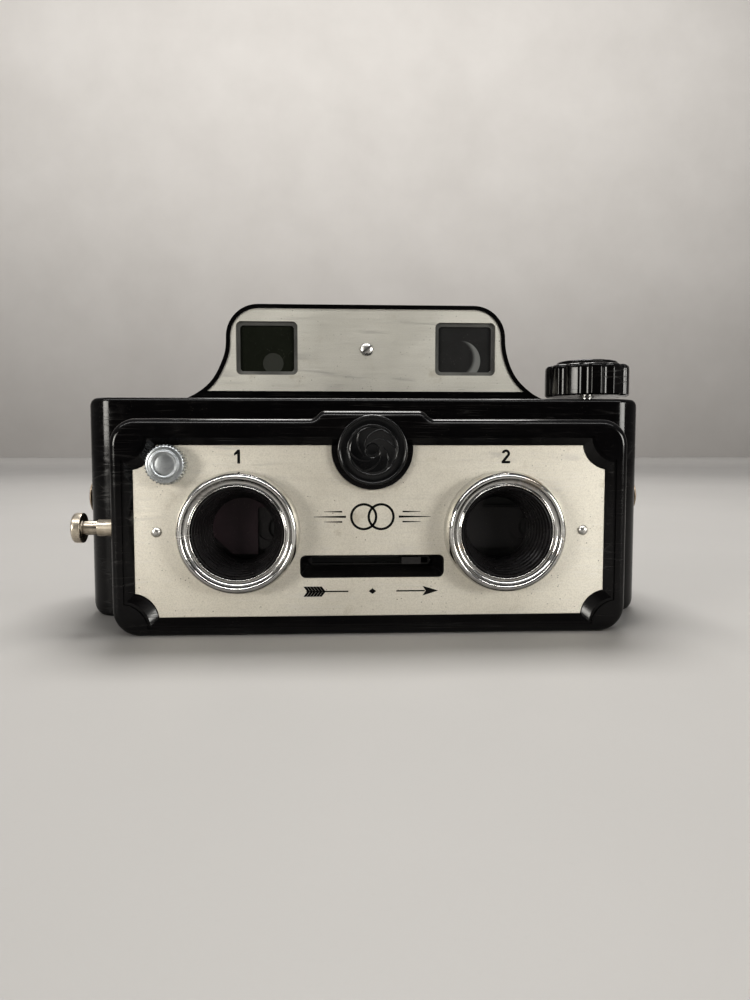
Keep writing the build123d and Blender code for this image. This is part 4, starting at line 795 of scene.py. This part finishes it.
dot.operation = "DOT_PRODUCT"
wn.links.new(tc.outputs["Generated"], dot.inputs[0])
dot.inputs[1].default_value = (-0.05, -0.95, -0.30)
dk = wn.nodes.new("ShaderNodeMapRange")
dk.interpolation_type = "SMOOTHSTEP"
dk.inputs["From Min"].default_value = 0.52
dk.inputs["From Max"].default_value = 0.92
dk.inputs["To Min"].default_value = 1.0
dk.inputs["To Max"].default_value = 0.03
wn.links.new(dot.outputs["Value"], dk.inputs["Value"])
mx = wn.nodes.new("ShaderNodeVectorMath")
mx.operation = "SCALE"
wn.links.new(cr.outputs[0], mx.inputs[0])
wn.links.new(dk.outputs[0], mx.inputs["Scale"])
lp = wn.nodes.new("ShaderNodeLightPath")
seen = wn.nodes.new("ShaderNodeMix")
seen.data_type = "RGBA"
wn.links.new(lp.outputs["Is Camera Ray"], seen.inputs["Factor"])
wn.links.new(mx.outputs[0], seen.inputs[6])
seen.inputs[7].default_value = (1.25, 1.22, 1.18, 1)
wn.links.new(seen.outputs[2], bg.inputs[0])
bg.inputs[1].default_value = 0.36
wn.links.new(bg.outputs[0], wo.inputs[0])


def area(name, loc, target, size, power, col=(1, 1, 1), size_y=None):
    d = bpy.data.lights.new(name, "AREA")
    d.shape = "RECTANGLE" if size_y else "SQUARE"
    d.size = size
    if size_y:
        d.size_y = size_y
    d.energy = power
    d.color = col
    o = bpy.data.objects.new(name, d)
    o.location = loc
    o.rotation_mode = "QUATERNION"
    o.rotation_quaternion = (Vector(target) - Vector(loc)).to_track_quat("-Z", "Y")
    scene.collection.objects.link(o)
    return o


area("key_over", (0.05, 0.52, 1.25), (0, -0.02, 0.02), 0.65, 15.0, (1.0, 0.985, 0.96), 0.5)
area("front_high", (0.0, -0.75, 1.15), (0, -0.02, 0.03), 0.9, 1.4, (1.0, 0.985, 0.95), 0.4)
left = area("side_left", (-1.05, -0.95, 0.24), (0, 0, 0.03), 0.5, 0.80, (1.0, 0.97, 0.91), 0.36)
right = area("side_right", (1.05, -0.92, 0.24), (0, 0, 0.03), 0.5, 0.78, (1.0, 0.985, 0.94), 0.36)
left.data.spread = right.data.spread = math.radians(50)
glint = area("glint_strip", (-0.05, -0.36, 0.58), (0, -0.02, 0.06), 1.3, 3.2, (1.0, 0.99, 0.97), 0.07)
glint.visible_diffuse = False
area("wall_wash", (0.0, 2.2, 3.4), (0, 5.0, 1.9), 7.0, 118, (1.0, 0.985, 0.965), 1.0)

cam_d = bpy.data.cameras.new("camera_view")
cam = bpy.data.objects.new("camera_view", cam_d)
scene.collection.objects.link(cam)
cam_d.sensor_width = 36.0
cam_d.sensor_fit = "AUTO"
cam_d.lens = 27.04
cam_d.clip_start = 0.01
cam_d.clip_end = 50
cam.location = (-0.009, -0.232, 0.0488)
yaw, pitch = math.radians(2.8), math.radians(-3.8)
d = Vector((math.sin(yaw) * math.cos(pitch), math.cos(yaw) * math.cos(pitch), math.sin(pitch)))
cam.rotation_mode = "QUATERNION"
cam.rotation_quaternion = d.to_track_quat("-Z", "Y")
scene.camera = cam
scene.view_settings.view_transform = "Standard"
scene.view_settings.look = "Medium High Contrast"
